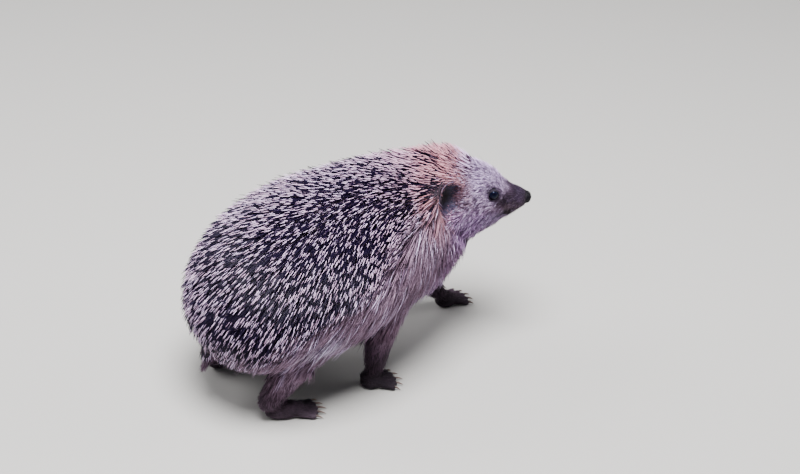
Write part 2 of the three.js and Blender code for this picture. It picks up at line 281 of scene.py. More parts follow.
def corners_of(obj):
    """The three vertices of every triangle."""
    corners = np.empty(len(obj.data.polygons) * 3, np.int32)
    obj.data.polygons.foreach_get("vertices", corners)
    return corners.reshape(-1, 3)


def shares_of(obj):
    """How far each vertex belongs to each named region, from 0 to 1."""
    names = [group.name for group in obj.vertex_groups]
    held = np.zeros((len(names), len(obj.data.vertices)))
    for vertex in obj.data.vertices:
        for g in vertex.groups:
            held[g.group, vertex.index] = g.weight
    return dict(zip(names, held))


def smoothed(obj, values, rounds):
    """Values at the vertices, each round evened out with their neighbours'."""
    edges = np.empty(len(obj.data.edges) * 2, np.int32)
    obj.data.edges.foreach_get("vertices", edges)
    a, b = edges.reshape(-1, 2).T
    flat = values.reshape(len(values), -1)
    count = np.bincount(a, minlength=len(values)) + np.bincount(b, minlength=len(values))
    for _ in range(rounds):
        total = [
            np.bincount(a, column[b], len(flat)) + np.bincount(b, column[a], len(flat))
            for column in flat.T
        ]
        flat = 0.5 * flat + 0.5 * np.stack(total, 1) / count[:, None]
    return flat.reshape(values.shape)


def evened_out(obj, places, rounds, share):
    """Places moved towards their smoothed ones, by a share of the way at each vertex."""
    return places + (smoothed(obj, places, rounds) - places) * share[:, None]


def regions_of(obj, rounds):
    """The body's regions, each with a soft edge: quilled back, furred trunk, head, legs, feet."""
    held = shares_of(obj)
    trunk, head = held["trunk"] + held["neck"], held["head"] + held["lower_jaw"]
    legs = held["tail"] + sum(held[node] for node in LEG_NODES)
    grouped = np.stack([held["mantle"], trunk, head, legs, held["foot"]], 1)
    return smoothed(obj, grouped, rounds).T


def ease(value, low, high):
    """0 below low, 1 above high, and a smooth rise between them."""
    share = np.clip((value - low) / (high - low), 0, 1)
    return share * share * (3 - 2 * share)


def hump(value, middle, width):
    """1 at the middle, falling away evenly on both sides."""
    return np.exp(-(((value - middle) / width) ** 2))


def read_off(stops, value):
    """A number read off a list of stops, each a value and what it gives."""
    return np.interp(value, *np.array(stops).T)


def distance(places, spot):
    return np.linalg.norm(places - spot, axis=1)


def unit(vectors):
    return vectors / np.maximum(np.linalg.norm(vectors, axis=-1, keepdims=True), 1e-9)


# How deep the coat lies, in millimetres: on the back, trunk, legs and feet, and along the face.
BACK_DEEP, TRUNK_DEEP, LEG_DEEP, FOOT_DEEP = 10, 6, 1.6, 0.3
FACE_DEEP = [(0, 6), (14, 3.0), (26, 1.6), (36, 1.1), (45, 0.7), (49, 0.4), (53, 0.6)]
EAR_PLACES = {side: from_head(-2.2, sign * 27, 4.8) for side, sign in SIDES.items()}
EAR_BARE, EAR_BARE_ROUND = 0.85, 26 * MM
DRAW_STEPS = 8
outer_form = BVHTree.FromObject(skin, bpy.context.evaluated_depsgraph_get())
places = places_of(skin)
ahead, aside, above = in_head(places).T / MM
on_mantle, on_trunk, on_head, on_legs, on_feet = regions_of(skin, 12)
coat_depth = on_mantle * BACK_DEEP + on_trunk * TRUNK_DEEP + on_head * read_off(FACE_DEEP, ahead)
coat_depth = coat_depth + on_legs * LEG_DEEP + on_feet * FOOT_DEEP
for ear in EAR_PLACES.values():
    close = 1 - ease(distance(places, ear), 0.45 * EAR_BARE_ROUND, EAR_BARE_ROUND)
    coat_depth *= 1 - EAR_BARE * close
coat_depth = smoothed(skin, coat_depth, 25)
for _ in range(DRAW_STEPS):
    places = places_of(skin) - normals_of(skin) * (coat_depth * MM / DRAW_STEPS)[:, None]
    put_places(skin, evened_out(skin, places, 2, np.clip(coat_depth / 5, 0.08, 1)))

# The snout narrows evenly to the nose: how far ahead, its radius, and its middle's height.
SNOUT = [
    (43, 11.0, -3.8), (46, 9.2, -2.8), (48.5, 7.9, -2.0),
    (50.5, 6.9, -1.5), (52.5, 5.7, -1.2), (54, 4.6, -1.0),
]
snout_at, snout_round, snout_height = np.array(SNOUT).T
places = places_of(skin)
ahead, aside, above = in_head(places).T / MM
middle = np.interp(ahead, snout_at, snout_height)
wide = np.hypot(aside, above - middle)
slimmer = np.minimum(1, np.interp(ahead, snout_at, snout_round) / np.maximum(wide, 0.1))
slimmer = np.where(ahead > snout_at[0], slimmer, 1)
local = np.stack([ahead, aside * slimmer, middle + (above - middle) * slimmer], 1)
places = head_middle + local @ head_axes.T * MM
put_places(skin, evened_out(skin, places, 14, ease(ahead, 40, 46) * 0.9))

# The ankles run smoothly into the feet.
places = places_of(skin)
height = places[:, 2] / MM
ankle = ease(height, 7, 10) * (1 - ease(height, 20, 26)) * np.clip(on_legs + on_feet, 0, 1)
put_places(skin, evened_out(skin, places, 40, ankle))

# The skin keeps out of the ears' cups, whose shells it holds from behind.
EAR_WIDE, EAR_HIGH, EAR_DEEP = 18.8, 26.4, 7.0
EAR_OPENS, EAR_LEANS = math.radians(56), math.radians(8)
EAR_CLEAR, EAR_SKIRT_STEEP, EAR_SKIRT_ENDS, EAR_CLEARED_OUT_TO = 0.5, 16, 1.7, 14


def ear_axes(sign):
    turn = Matrix.Rotation(sign * EAR_OPENS, 3, "Z") @ Matrix.Rotation(-EAR_LEANS, 3, "Y")
    return head_axes @ np.array(turn)


def in_ear(points, side):
    """Places in millimetres as an ear sees them: out of its cup, across it and up it."""
    return (points - EAR_PLACES[side]) @ ear_axes(SIDES[side]) / MM


places = places_of(skin)
for side, sign in SIDES.items():
    outward, across, upward = in_ear(places, side).T
    ring = np.hypot(across / (EAR_WIDE / 2 + EAR_CLEAR), upward / (EAR_HIGH / 2 + EAR_CLEAR))
    cup = -(EAR_DEEP + EAR_CLEAR) * np.sqrt(np.maximum(1 - ring**2, 0))
    kept_to = np.where(ring < 1, cup, (ring - 1) * EAR_SKIRT_STEEP)
    inside = (outward > kept_to) & (outward < EAR_CLEARED_OUT_TO) & (ring < EAR_SKIRT_ENDS)
    places -= ((outward - kept_to) * inside)[:, None] * ear_axes(sign)[:, 0] * MM

# The soles press flat on the ground.
GROUND_GAP = 0.1 * MM
places[:, 2] = np.maximum(places[:, 2], GROUND_GAP)
put_places(skin, places)

# Large faces do under the quills; the face and feet keep their fine ones.
COARSE_KEPT = 0.3
coarse = skin.vertex_groups.new(name="coarse")
ahead = in_head(places).T[0] / MM
plain = (regions_of(skin, 2)[0] + regions_of(skin, 2)[1] > 0.6) & (ahead < 6)
coarse.add([int(i) for i in np.flatnonzero(plain)], 1.0, "REPLACE")
thinner = {"ratio": COARSE_KEPT, "vertex_group": "coarse", "use_collapse_triangulate": True}
apply_modifier(skin, "DECIMATE", **thinner)
apply_modifier(skin, "TRIANGULATE")


def subdivide_near(obj, chosen, cuts):
    """Cuts the faces finer where all corners are chosen."""
    picked = chosen[corners_of(obj)].all(1)
    only(obj)
    bpy.ops.object.mode_set(mode="EDIT")
    bpy.ops.mesh.select_mode(type="FACE")
    bpy.ops.mesh.select_all(action="DESELECT")
    bpy.ops.object.mode_set(mode="OBJECT")
    obj.data.polygons.foreach_set("select", picked)
    bpy.ops.object.mode_set(mode="EDIT")
    bpy.ops.mesh.subdivide(number_cuts=cuts)
    bpy.ops.object.mode_set(mode="OBJECT")
    apply_modifier(obj, "TRIANGULATE")


MOUTH_LOW, MOUTH_FROM, MOUTH_SLOPE = -11, 38, 0.336


def mouth_line(ahead):
    """How high the parting of the lips is, in millimetres, at a distance ahead."""
    return MOUTH_LOW + (ahead - MOUTH_FROM) * MOUTH_SLOPE


FINE_ROUND_EYES, FINE_BY_MOUTH = 8.5 * MM, 2.6
places = places_of(skin)
ahead, aside, above = in_head(places).T / MM
by_eyes = sum(distance(places, eye) < FINE_ROUND_EYES for eye in eye_places.values()) > 0
by_mouth = (ahead > 36) & (ahead < 55) & (np.abs(above - mouth_line(ahead)) < FINE_BY_MOUTH)
subdivide_near(skin, by_eyes | by_mouth, 2)

# The lids stand just off the eyeball, with a fold round them; inside, the skin goes behind it.
EYE_RADIUS = 3.7 * MM
LID_LONG, LID_TALL, LID_TILT = 3.3 * MM, 3.0 * MM, math.radians(12)
LID_OFF, LID_EDGE, LID_HIDDEN = 0.38 * MM, 0.9 * MM, 0.6 * MM
LID_FOLD, LID_FOLD_AT, LID_FOLD_WIDE = 0.3 * MM, 1.5, 0.16
LID_STARTS, LID_ENDS, LID_FADES_FROM, LID_FADES_BY = 0.86, 1.03, 1.12, 2.5
LID_ROUND, LID_DEEP = 9 * MM, -3 * MM


def eye_way(side):
    """The way that an eye looks: outwards, a little forwards and up."""
    way = head_axes @ np.array([0.10, SIDES[side], 0.06])
    return way / np.linalg.norm(way)


places = places_of(skin)
for side, eye in eye_places.items():
    out = eye_way(side)
    along = unit(head_axes[:, 0] - out * (head_axes[:, 0] @ out))
    upward = np.cross(out, along) * SIDES[side]
    if upward @ head_axes[:, 2] < 0:
        upward = -upward
    offset = places - eye
    height, x, y = offset @ out, offset @ along, offset @ upward
    long_way = x * math.cos(LID_TILT) + y * math.sin(LID_TILT)
    tall_way = y * math.cos(LID_TILT) - x * math.sin(LID_TILT)
    reach = np.hypot(long_way / LID_LONG, tall_way / LID_TALL)
    across = np.hypot(x, y)
    on_lid = np.sqrt(np.maximum((EYE_RADIUS + LID_OFF) ** 2 - across**2, LID_EDGE**2))
    inner = LID_HIDDEN + (on_lid - LID_HIDDEN) * ease(reach, LID_STARTS, LID_ENDS)
    outer = ease(reach, LID_FADES_FROM, LID_FADES_BY)
    fold = LID_FOLD * hump(reach, LID_FOLD_AT, LID_FOLD_WIDE) * (0.4 + 0.6 * (y > 0))
    raised = inner * (1 - outer) + np.maximum(height, inner * (1 - outer)) * outer - fold
    touched = (np.linalg.norm(offset, axis=1) < LID_ROUND) & (height > LID_DEEP)
    touched &= reach < LID_FADES_BY
    places[touched] += ((raised - height)[:, None] * out)[touched]
put_places(skin, places)

# The parting of the lips is a fine crease, with a full lip above and below it.
CREASE_DEEP, CREASE_WIDE = 1.1, 0.5
LIP_FULL, LIP_OFF, LIP_WIDE = 0.3, 1.2, 0.6
places = places_of(skin)
ahead, aside, above = in_head(places).T / MM
off_line = above - mouth_line(ahead)
along_lips = ease(ahead, 37, 40) * (1 - ease(ahead, 52, 54))
crease = LIP_FULL * hump(np.abs(off_line), LIP_OFF, LIP_WIDE) - CREASE_DEEP * hump(off_line, 0, CREASE_WIDE)
put_places(skin, places + normals_of(skin) * (crease * along_lips * MM)[:, None])


def smooth_outward(obj):
    """Turns every face outwards and shades the surface smooth."""
    reshape(obj, bpy.ops.mesh.normals_make_consistent, inside=False)
    bpy.ops.object.shade_smooth()


def unwrap(obj):
    """Lays the surface out flat, so that the coat's patches can lie where their roots do."""
    layout = {"angle_limit": 1.15, "island_margin": 0.004, "scale_to_bounds": True}
    reshape(obj, bpy.ops.uv.smart_project, **layout)
    obj.data.uv_layers[0].name = "OFBake"


smooth_outward(skin)
unwrap(skin)


def paint(red, green, blue):
    """A colour as it is seen, 0 to 255, made into the light that a surface gives back."""
    seen = [c / 255 for c in (red, green, blue)]
    light = [(c / 12.92 if c < 11 / 255 else ((c + 0.055) / 1.055) ** 2.4) for c in seen]
    return light + [1.0]


# Where each colour of skin and hair lies: a rounded patch with a soft edge, in millimetres, on
# the body or on the head. A later patch lies over an earlier one, and a pair of patches lies on
# the left and the right alike.
MARKINGS = [
    # on what, middle, half sizes, solid within, gone by, colour
    # The belly patch darkens the whole lower trunk: partly its own darker colour, partly painted shade
    # under the body.
    ("body", (-20, 0, 30), (120, 60, 30), 0.5, 1.1, (94, 68, 94)),  # belly
    ("body", (62, 0, 70), (44, 40, 42), 0.5, 1.2, (148, 108, 152)),  # chest
    ("body", (34, 0, 56), (34, 44, 15), 0.4, 1.2, (206, 188, 224)),  # its lower fringe
    ("body pair", (-40, 61, 64), (20, 14, 9), 0.3, 1.2, (226, 216, 244)),  # pale tufts low on the sides
    ("head", (-14, 0, 12), (28, 48, 38), 0.6, 1.15, (220, 152, 160)),  # nape and round the ears
    ("head", (12, 0, -14), (24, 36, 18), 0.5, 1.2, (206, 162, 226)),  # throat and cheeks
    ("head", (24, 0, 12), (18, 30, 20), 0.6, 1.1, (236, 208, 255)),  # forehead
    ("head", (28, 0, -12), (19, 20, 10), 0.4, 1.2, (208, 178, 236)),  # chin and lower cheeks
    ("head", (46, 0, 1), (13, 13, 13), 0.35, 1.3, (50, 31, 64)),  # muzzle
    ("head pair", (38, 10, 1), (10, 7, 6), 0.25, 1.3, (50, 32, 58)),  # mask from eye to nose
    ("head pair", (29.2, 16, 6.6), (7.4, 8, 6.4), 0.5, 1.2, (98, 74, 108)),  # rings round the eyes
    ("head pair", (28.4, 15, 6.2), (4.4, 7, 4.1), 0.8, 1.15, (44, 32, 54)),  # rims of the lids
    ("head pair", (42, 9.5, -8.6), (6, 5, 3.4), 0.4, 1.3, (36, 25, 40)),  # corners of the mouth
    # the parting of the lips: a dark line of painted shade in its crease
    ("lips", (46, 0, -8.4), (9, 12, 1.1), 0.4, 1.4, (26, 18, 28)),
    ("head", (55, 0, -1), (6.5, 9, 9), 0.4, 1.2, (18, 14, 24)),  # where the nose sits
    # painted shade in and behind the ears
    ("head pair", (-6.5, 27, 3), (9, 11, 16), 0.5, 1.1, (68, 50, 68)),  # in and behind the ears
    ("head pair", (-10, 26, -13), (12, 12, 10), 0.3, 1.2, (124, 86, 110)),  # shade below the ears
    ("body", (36, 33, 30), (30, 22, 34), 0.5, 1.15, (78, 54, 80)),  # left foreleg, reaching ahead
    ("body", (-4, -36, 26), (17, 14, 28), 0.5, 1.15, (78, 54, 80)),  # right foreleg
    ("body", (0, 0, 16), (130, 70, 20), 0.75, 1.2, (66, 48, 66)),  # lower legs
    ("body", (0, 0, 4), (140, 70, 10), 0.6, 1.3, (46, 34, 48)),  # feet
]
COAT_BROWN, COAT_TAN = paint(132, 102, 126), paint(172, 142, 168)
MARKING_SWAY = 7 * MM


def node(tree, kind, settings=None, **inputs):
    """A shader node. Its inputs, named with _ for a space or n and a number, get a value or
    another node's output."""
    made = tree.nodes.new("ShaderNode" + kind)
    for key, value in (settings or {}).items():
        setattr(made, key, value)
    for key, value in inputs.items():
        numbered = key[0] == "n" and key[1:].isdigit()
        plug(tree, value, made.inputs[int(key[1:]) if numbered else key.replace("_", " ")])
    return made


def plug(tree, value, socket):
    """Gives a socket a fixed value, or another node's output."""
    if isinstance(value, bpy.types.NodeSocket):
        tree.links.new(value, socket)
    else:
        socket.default_value = value


def noise(tree, place, scale, detail=2.0, roughness=0.5, output="Fac"):
    made = node(tree, "TexNoise", Vector=place, Scale=scale, Detail=detail, Roughness=roughness)
    return made.outputs[output]


def vector_sum(tree, kind, **inputs):
    return node(tree, "VectorMath", {"operation": kind}, **inputs).outputs[0]


def mixed(tree, share, first, second, blend="MIX"):
    """Two colours mixed. Either may be a colour or another node's output."""
    mix = node(tree, "Mix", {"data_type": "RGBA", "blend_type": blend})
    for place, value in ((0, share), (6, first), (7, second)):
        plug(tree, value, mix.inputs[place])
    return mix.outputs[2]


def reranged(tree, value, low, high, to_low=0.0, to_high=1.0):
    """A number that rises smoothly from one level to another."""
    return node(
        tree, "MapRange", {"interpolation_type": "SMOOTHSTEP"},
        Value=value, From_Min=low, From_Max=high, To_Min=to_low, To_Max=to_high,
    ).outputs["Result"]


def finish(name, **constants):
    """A new material with its shader, whose fixed values are set on the shader itself."""
    material = bpy.data.materials.new(name)
    material.use_nodes = True
    tree = material.node_tree
    shader = tree.nodes["Principled BSDF"]
    for key, value in constants.items():
        shader.inputs[key.replace("_", " ")].default_value = value
    return material, tree, shader


def feed(tree, output, shader, socket):
    tree.links.new(output, shader.inputs[socket])


def bumped(tree, shader, height, distance, strength=1.0):
    bump = node(tree, "Bump", Height=height, Distance=distance, Strength=strength)
    feed(tree, bump.outputs["Normal"], shader, "Normal")


def object_place(tree):
    return node(tree, "TexCoord").outputs["Object"]


def kept_value(tree, name, output="Fac"):
    """What a mesh keeps at its vertices under a name."""
    return node(tree, "Attribute", {"attribute_name": name}).outputs[output]


def keep_value(mesh, name, values):
    """Keeps a number at each vertex of a mesh, for its material to read."""
    mesh.attributes.new(name, "FLOAT", "POINT").data.foreach_set("value", values)


def marked_at(tree, place):
    """The colour that the markings give a place."""
    return node(tree, "Group", {"node_tree": markings}, Place=place).outputs["Color"]


def marking(tree, place, below, on, middle, halves, solid, gone, color):
    """One patch of the markings, laid over the colours below it."""
    turn = Matrix.Identity(3) if on == "body" else head_turn
    if on == "lips":
        turn = head_turn @ Matrix.Rotation(-math.atan(MOUTH_SLOPE), 3, "Y")
    local = node(tree, "Mapping", {"vector_type": "TEXTURE"}, Vector=place)
    local.inputs["Location"].default_value = Vector(middle) * MM if on == "body" else from_head(*middle)
    local.inputs["Rotation"].default_value = turn.to_euler()
    local.inputs["Scale"].default_value = [half * MM for half in halves]
    reach = node(tree, "VectorMath", {"operation": "LENGTH"}, n0=local.outputs[0]).outputs["Value"]
    return mixed(tree, reranged(tree, reach, solid, gone, 1.0, 0.0), below, paint(*color))


# The markings are one shader group, which the skin, the fur and the quills all read.
markings = bpy.data.node_groups.new("markings", "ShaderNodeTree")
markings.interface.new_socket("Place", in_out="INPUT", socket_type="NodeSocketVector")
markings.interface.new_socket("Color", in_out="OUTPUT", socket_type="NodeSocketColor")
inlet, outlet = markings.nodes.new("NodeGroupInput"), markings.nodes.new("NodeGroupOutput")
place = inlet.outputs["Place"]
wander = noise(markings, place, 90.0, 3.0, output="Color")
shifted = vector_sum(markings, "SUBTRACT", n0=place, n1=[MARKING_SWAY / 2] * 3)
swayed = vector_sum(markings, "MULTIPLY_ADD", n0=wander, n1=[MARKING_SWAY] * 3, n2=shifted)
dappled = reranged(markings, noise(markings, place, 45.0), 0.35, 0.65)
coat_color = mixed(markings, dappled, COAT_BROWN, COAT_TAN)
for on, (x, y, z), *patch in MARKINGS:
    for across in (y, -y) if on.endswith("pair") else (y,):
        coat_color = marking(markings, swayed, coat_color, on.split()[0], (x, across, z), *patch)
markings.links.new(coat_color, outlet.inputs["Color"])

SKIN_DEEP, SKIN_SHADE_UNDER_QUILLS, SKIN_MOTTLE = paint(34, 24, 32), paint(38, 25, 38), paint(30, 20, 26)
skin_finish, tree, shader = finish("skin", Roughness=0.75, Specular_IOR_Level=0.25)
place = object_place(tree)
deep = mixed(tree, 0.55, marked_at(tree, place), SKIN_DEEP, "MULTIPLY")
# Under the quills the skin is darker: partly its own colour, partly painted shade between the quills.
under = mixed(tree, kept_value(tree, "under_quills"), deep, SKIN_SHADE_UNDER_QUILLS)
mottle = noise(tree, place, 700.0, 4.0, 0.65)
mottled = mixed(tree, reranged(tree, mottle, 0.3, 0.75, 0.0, 0.5), under, SKIN_MOTTLE)
feed(tree, mottled, shader, "Base Color")
bumped(tree, shader, mottle, 0.6 * MM)
skin.data.materials.clear()
skin.data.materials.append(skin_finish)
keep_value(skin.data, "under_quills", regions_of(skin, 3)[0])
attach(skin, "root")
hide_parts("mantle", "trunk", "neck", "head", "lower_jaw", "tail",
            "foreleg_right", "foreleg_left", "hindleg_right", "hindleg_left",
            "forefoot_right", "forefoot_left", "hindfoot_right", "hindfoot_left")

# ---------------------------------------------------------------- eyes
# Each eye is a black-brown bead, wet and clear in front, with a barely lighter ring of iris. It
# sits in the skin's lids, 7.4 mm across, where the solid one does.
EYE_BLACK, PUPIL_BLACK = paint(4, 6, 24), paint(3, 4, 17)
IRIS_DARK, IRIS_BROWN = paint(10, 8, 14), paint(24, 16, 22)
EYE_SHEEN = (0.5, 0.62, 1.0, 1.0)
EYE_GAP, CORNEA_RISES = 0.03 * MM, 0.15 * MM
eye_finish, tree, shader = finish(
    "eye", Roughness=0.04, Specular_IOR_Level=0.18, Specular_Tint=EYE_SHEEN
)
facing = kept_value(tree, "facing")
flecks = noise(tree, object_place(tree), 1400.0)
iris = mixed(tree, flecks, IRIS_DARK, IRIS_BROWN)
ringed = mixed(tree, reranged(tree, facing, 0.80, 0.9, 0.0, 0.75), EYE_BLACK, iris)
seen = mixed(tree, reranged(tree, facing, 0.90, 0.93), ringed, PUPIL_BLACK)
feed(tree, seen, shader, "Base Color")
bumped(tree, shader, flecks, 0.01 * MM, 0.1)
for side, eye in eye_places.items():
    bpy.ops.object.select_all(action="DESELECT")
    bpy.ops.mesh.primitive_uv_sphere_add(segments=64, ring_count=32)
    ball = bpy.context.object
    ball.name = ball.data.name = "eyeball_" + side
    ball.rotation_euler = Vector(eye_way(side)).to_track_quat("Z", "Y").to_euler()
    settle(ball)
    ways = unit(places_of(ball))
    frontness = ways @ eye_way(side)
    cornea = CORNEA_RISES * ease(frontness, 0.5, 1.0)
    put_places(ball, eye + ways * (EYE_RADIUS - EYE_GAP + cornea)[:, None])
    keep_value(ball.data, "facing", frontness)
    only(ball)
    bpy.ops.object.shade_smooth()
    ball.data.materials.append(eye_finish)
    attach(ball, "root")
    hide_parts("eye_" + side)

# ---------------------------------------------------------------- nose
# The nose is a bare black pad, pebbled and moist, with two comma-shaped nostrils that run back
# along its sides and a groove down its middle. It caps the muzzle's tip.
NOSE_MIDDLE, NOSE_RADII = from_head(53.1, 0, -0.9), (4.7, 5.0, 4.7)
NOSE_BLACK, NOSE_GREY = paint(4, 4, 8), paint(20, 16, 24)
# Its forms: place ahead, aside and above its middle, and half sizes, in millimetres.
NOSE_BORE = (3.7, 2.3, -0.2), (1.6, 1.0, 1.1)
NOSE_SLIT = (2.0, 4.0, -1.0), (2.2, 1.3, 0.5)
NOSE_WING = (2.4, 2.7, 1.3), (2.6, 1.7, 1.8)
nose_finish, tree, shader = finish("nose", Roughness=0.34, Specular_IOR_Level=0.14)
place = object_place(tree)
pebbles = node(
    tree, "TexVoronoi", {"feature": "SMOOTH_F1"}, Vector=place, Scale=1900.0, Smoothness=0.6
).outputs["Distance"]
feed(tree, mixed(tree, noise(tree, place, 600.0, 4.0), NOSE_BLACK, NOSE_GREY), shader, "Base Color")
feed(tree, reranged(tree, pebbles, 0.0, 0.6, 0.2, 0.42), shader, "Roughness")
bumped(tree, shader, pebbles, -0.16 * MM, 0.6)
nose = mass(Vector(NOSE_MIDDLE), NOSE_RADII, segments=112)
nose.name = nose.data.name = "nose_pad"
places = places_of(nose)
local = (places - NOSE_MIDDLE) @ head_axes / MM
ahead, aside, above = local.T


def nose_form(form, sign):
    """How far each place of the nose is from a form's middle, squared, in the form's half sizes."""
    middle, halves = np.array(form)
    return (((local - middle * [1, sign, 1]) / halves) ** 2).sum(1)


hollow, swell = np.zeros(len(places)), np.zeros(len(places))
for sign in SIDES.values():
    hollow += 2.0 * np.exp(-(nose_form(NOSE_BORE, sign) ** 1.6))
    hollow += 1.0 * np.exp(-(nose_form(NOSE_SLIT, sign) ** 1.3))
    swell += 0.5 * np.exp(-nose_form(NOSE_WING, sign))
hollow += 0.55 * hump(aside, 0, 0.34) * ease(ahead, 1.5, 3) * (1 - ease(above, -0.4, 1.6))  # groove
hollow += 0.35 * hump(aside, 0, 0.9) * ease(above, 1.5, 3.6)  # dip of the bridge
hollow += 0.3 * ease(ahead, 3.2, 4.7)  # blunt front
hollow += 0.7 * (1 - ease(above, -4.5, -0.5)) * ease(np.abs(aside), 0.5, 3)  # narrow below
put_places(nose, places + unit(places - NOSE_MIDDLE) * ((swell - hollow) * MM)[:, None])
only(nose)
bpy.ops.object.shade_smooth()
nose.data.materials.append(nose_finish)
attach(nose, "root")
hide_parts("nose")

# ---------------------------------------------------------------- ears
# An ear is a rounded cup of thin skin, 19 mm wide and 26 mm high, open forwards and outwards. Its
# edge rolls outwards, and inside it a long fold and a small flap stand before the canal. Its rim is
# a painted highlight, and the cup is painted darker towards its depth as shade.
EAR_AROUND, EAR_RINGS, EAR_EDGE_RINGS = 72, 22, 5
EAR_EDGE, EAR_WALL, EAR_WALL_ROOT = 0.32, 0.6, 1.0
EAR_ROLL, EAR_ROLL_FROM = 0.7, 0.82
EAR_NARROWED = 0.14
EAR_DARK, EAR_LIGHT, EAR_RIM_HIGHLIGHT, EAR_DEPTH_SHADE = (
    paint(46, 40, 62), paint(84, 76, 108), paint(156, 146, 180), paint(22, 16, 22)
)
ear_finish, tree, shader = finish("ear", Roughness=0.62, Specular_IOR_Level=0.3)
place = object_place(tree)
depth_in = kept_value(tree, "depth_in")
mottle = node(tree, "TexNoise", Vector=place, Scale=420.0, Detail=5.0, Roughness=0.6)
veins = node(tree, "TexVoronoi", {"feature": "DISTANCE_TO_EDGE"}, Vector=place, Scale=260.0)
flesh_tone = mixed(tree, mottle.outputs["Fac"], EAR_DARK, EAR_LIGHT)
# The rim is painted lighter all round as a highlight, and the cup darker towards its depth as shade.
rim_highlighted = mixed(tree, reranged(tree, depth_in, 0.92, 1.0, 0.0, 0.8), flesh_tone, EAR_RIM_HIGHLIGHT)
depth_shaded = mixed(tree, reranged(tree, depth_in, 0.75, 0.1), rim_highlighted, EAR_DEPTH_SHADE)
feed(tree, depth_shaded, shader, "Base Color")
feed(tree, reranged(tree, mottle.outputs["Fac"], 0.3, 0.7, 0.5, 0.72), shader, "Roughness")
wrinkles = mixed(tree, 0.5, mottle.outputs["Color"], veins.outputs["Distance"], "ADD")
bumped(tree, shader, wrinkles, 0.3 * MM, 0.6)


def ear_relief(across, upward, out):
    """How far the folds inside an ear stand up from its cup: across runs to the head's side."""
    bend = 1.2 + 0.03 * upward**2
    fold = 1.5 * hump(across, bend, 1.0) * ease(upward, -7, -1) * (1 - ease(upward, 7, 11))
    band = ease(out, 0.25, 0.6) * (1 - ease(out, 0.85, 0.97)) * ease(-across, -2, 4)
    ribs = 0.22 * np.sin(upward * 1.9 + 1.0) * band
    flap = 1.6 * np.exp(-(((across + 5.6) / 1.6) ** 2 + ((upward + 7.5) / 2.6) ** 2))
    pit = -0.7 * np.exp(-(((across + 1.8) / 2.6) ** 2 + ((upward + 5.5) / 3.0) ** 2))
    return (fold + ribs + flap + pit) * (1 - ease(out, 0.93, 1.0))


def ear_rings():
    """Each ring's inset, share of the way to the rim, lift over it, and depth for the finish:
    from the back's middle to the rim, over the edge, and down into the canal."""
    shares = np.linspace(0.03, 1, EAR_RINGS)
    rings = [(0.0, share, 0.0, 0.5) for share in shares]
    for angle in np.radians(np.linspace(30, 150, EAR_EDGE_RINGS)):
        inset = EAR_WALL / 2 * (1 - math.cos(angle))
        rings.append((inset, 1.0, EAR_EDGE * math.sin(angle), 1.0))
    inside = [(EAR_WALL + EAR_WALL_ROOT * (1 - share), share, 0.0, share) for share in shares[::-1]]
    return rings + inside


def ear_points(sign):
    """The points of every ring of an ear, in millimetres in the ear's own directions."""
    turns = np.arange(EAR_AROUND) * 2 * math.pi / EAR_AROUND
    edge = 1 + 0.022 * np.sin(3 * turns + 0.8) + 0.016 * np.sin(5 * turns + 2.1)
    edge = edge + 0.006 * np.sin(11 * turns)
    points = []
    for inset, share, lift, _ in ear_rings():
        out = math.sin(math.pi / 2 * share)
        uneven = 1 + (edge - 1) * out
        narrow = 1 - EAR_NARROWED * np.sin(turns) ** 2
        y = (EAR_WIDE / 2 - inset) * narrow * out * np.cos(turns) * uneven
        z = (EAR_HIGH / 2 - inset) * out * np.sin(turns) * uneven
        x = lift - (EAR_DEEP - inset) * math.cos(math.pi / 2 * share) * np.ones(EAR_AROUND)
        roll = EAR_ROLL * max(0, share - EAR_ROLL_FROM) / (1 - EAR_ROLL_FROM)
        x = x + roll * (0.9 * np.sin(turns) - 0.5 * np.sin(3 * turns + 0.5))
        if inset > EAR_WALL - 0.1 and lift == 0:
            x = x + ear_relief(y * sign, z, out)
        points.append(np.stack([x, y, z], 1))
    return np.concatenate(points)


def tube_faces(base, rings, sides):
    """Faces round rings of points that start at base, closed at both ends."""
    faces = []
    for j in range(rings - 1):
        for k in range(sides):
            a, b = base + j * sides + k, base + j * sides + (k + 1) % sides
            faces.append((a, b, b + sides, a + sides))
    faces.append([base + k for k in reversed(range(sides))])
    faces.append([base + (rings - 1) * sides + k for k in range(sides)])
    return faces


def modelled(name, points, faces):
    """A new piece from its points and faces, smooth and facing outwards."""
    mesh = bpy.data.meshes.new(name)
    mesh.from_pydata([list(point) for point in points], [], faces)
    piece = linked(bpy.data.objects.new(name, mesh))
    smooth_outward(piece)
    return piece


ears = {}
for side, sign in SIDES.items():
    rings = ear_rings()
    places = EAR_PLACES[side] + ear_points(sign) @ ear_axes(sign).T * MM
    ear = modelled("pinna_" + side, places, tube_faces(0, len(rings), EAR_AROUND))
    keep_value(ear.data, "depth_in", np.repeat([depth for *_, depth in rings], EAR_AROUND))
    ear.data.materials.append(ear_finish)
    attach(ear, "root")
    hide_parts("ear_" + side)
    ears[side] = ear

# ---------------------------------------------------------------- claws
# Twenty curved claws, 5 to 8 mm long, narrow and finely streaked, dark at the root and worn paler at the
# tip. Each grows from the top of a toe's end and touches the ground.
CLAW_RINGS, CLAW_SIDES = 9, 10
CLAW_THICK, CLAW_TIP, CLAW_NARROW = 1.05, 0.06, 0.72
CLAW_ROOT_HIGH, CLAW_RISES, CLAW_CURVES = 0.5, 0.9, 2.9
CLAW_STARTS, OUTER_CLAW_SHORTER = 0.2, 0.35
CLAW_DARK, CLAW_PALE, CLAW_STREAK = paint(44, 32, 34), paint(142, 118, 104), paint(70, 54, 52)
claw_finish, tree, shader = finish("claw", Roughness=0.38, Specular_IOR_Level=0.5)
streaks = noise(tree, object_place(tree), 1100.0, 3.0)
horn = mixed(tree, kept_value(tree, "along"), CLAW_DARK, CLAW_PALE)
feed(tree, mixed(tree, streaks, horn, CLAW_STREAK), shader, "Base Color")
bumped(tree, shader, streaks, 0.1 * MM, 0.5)


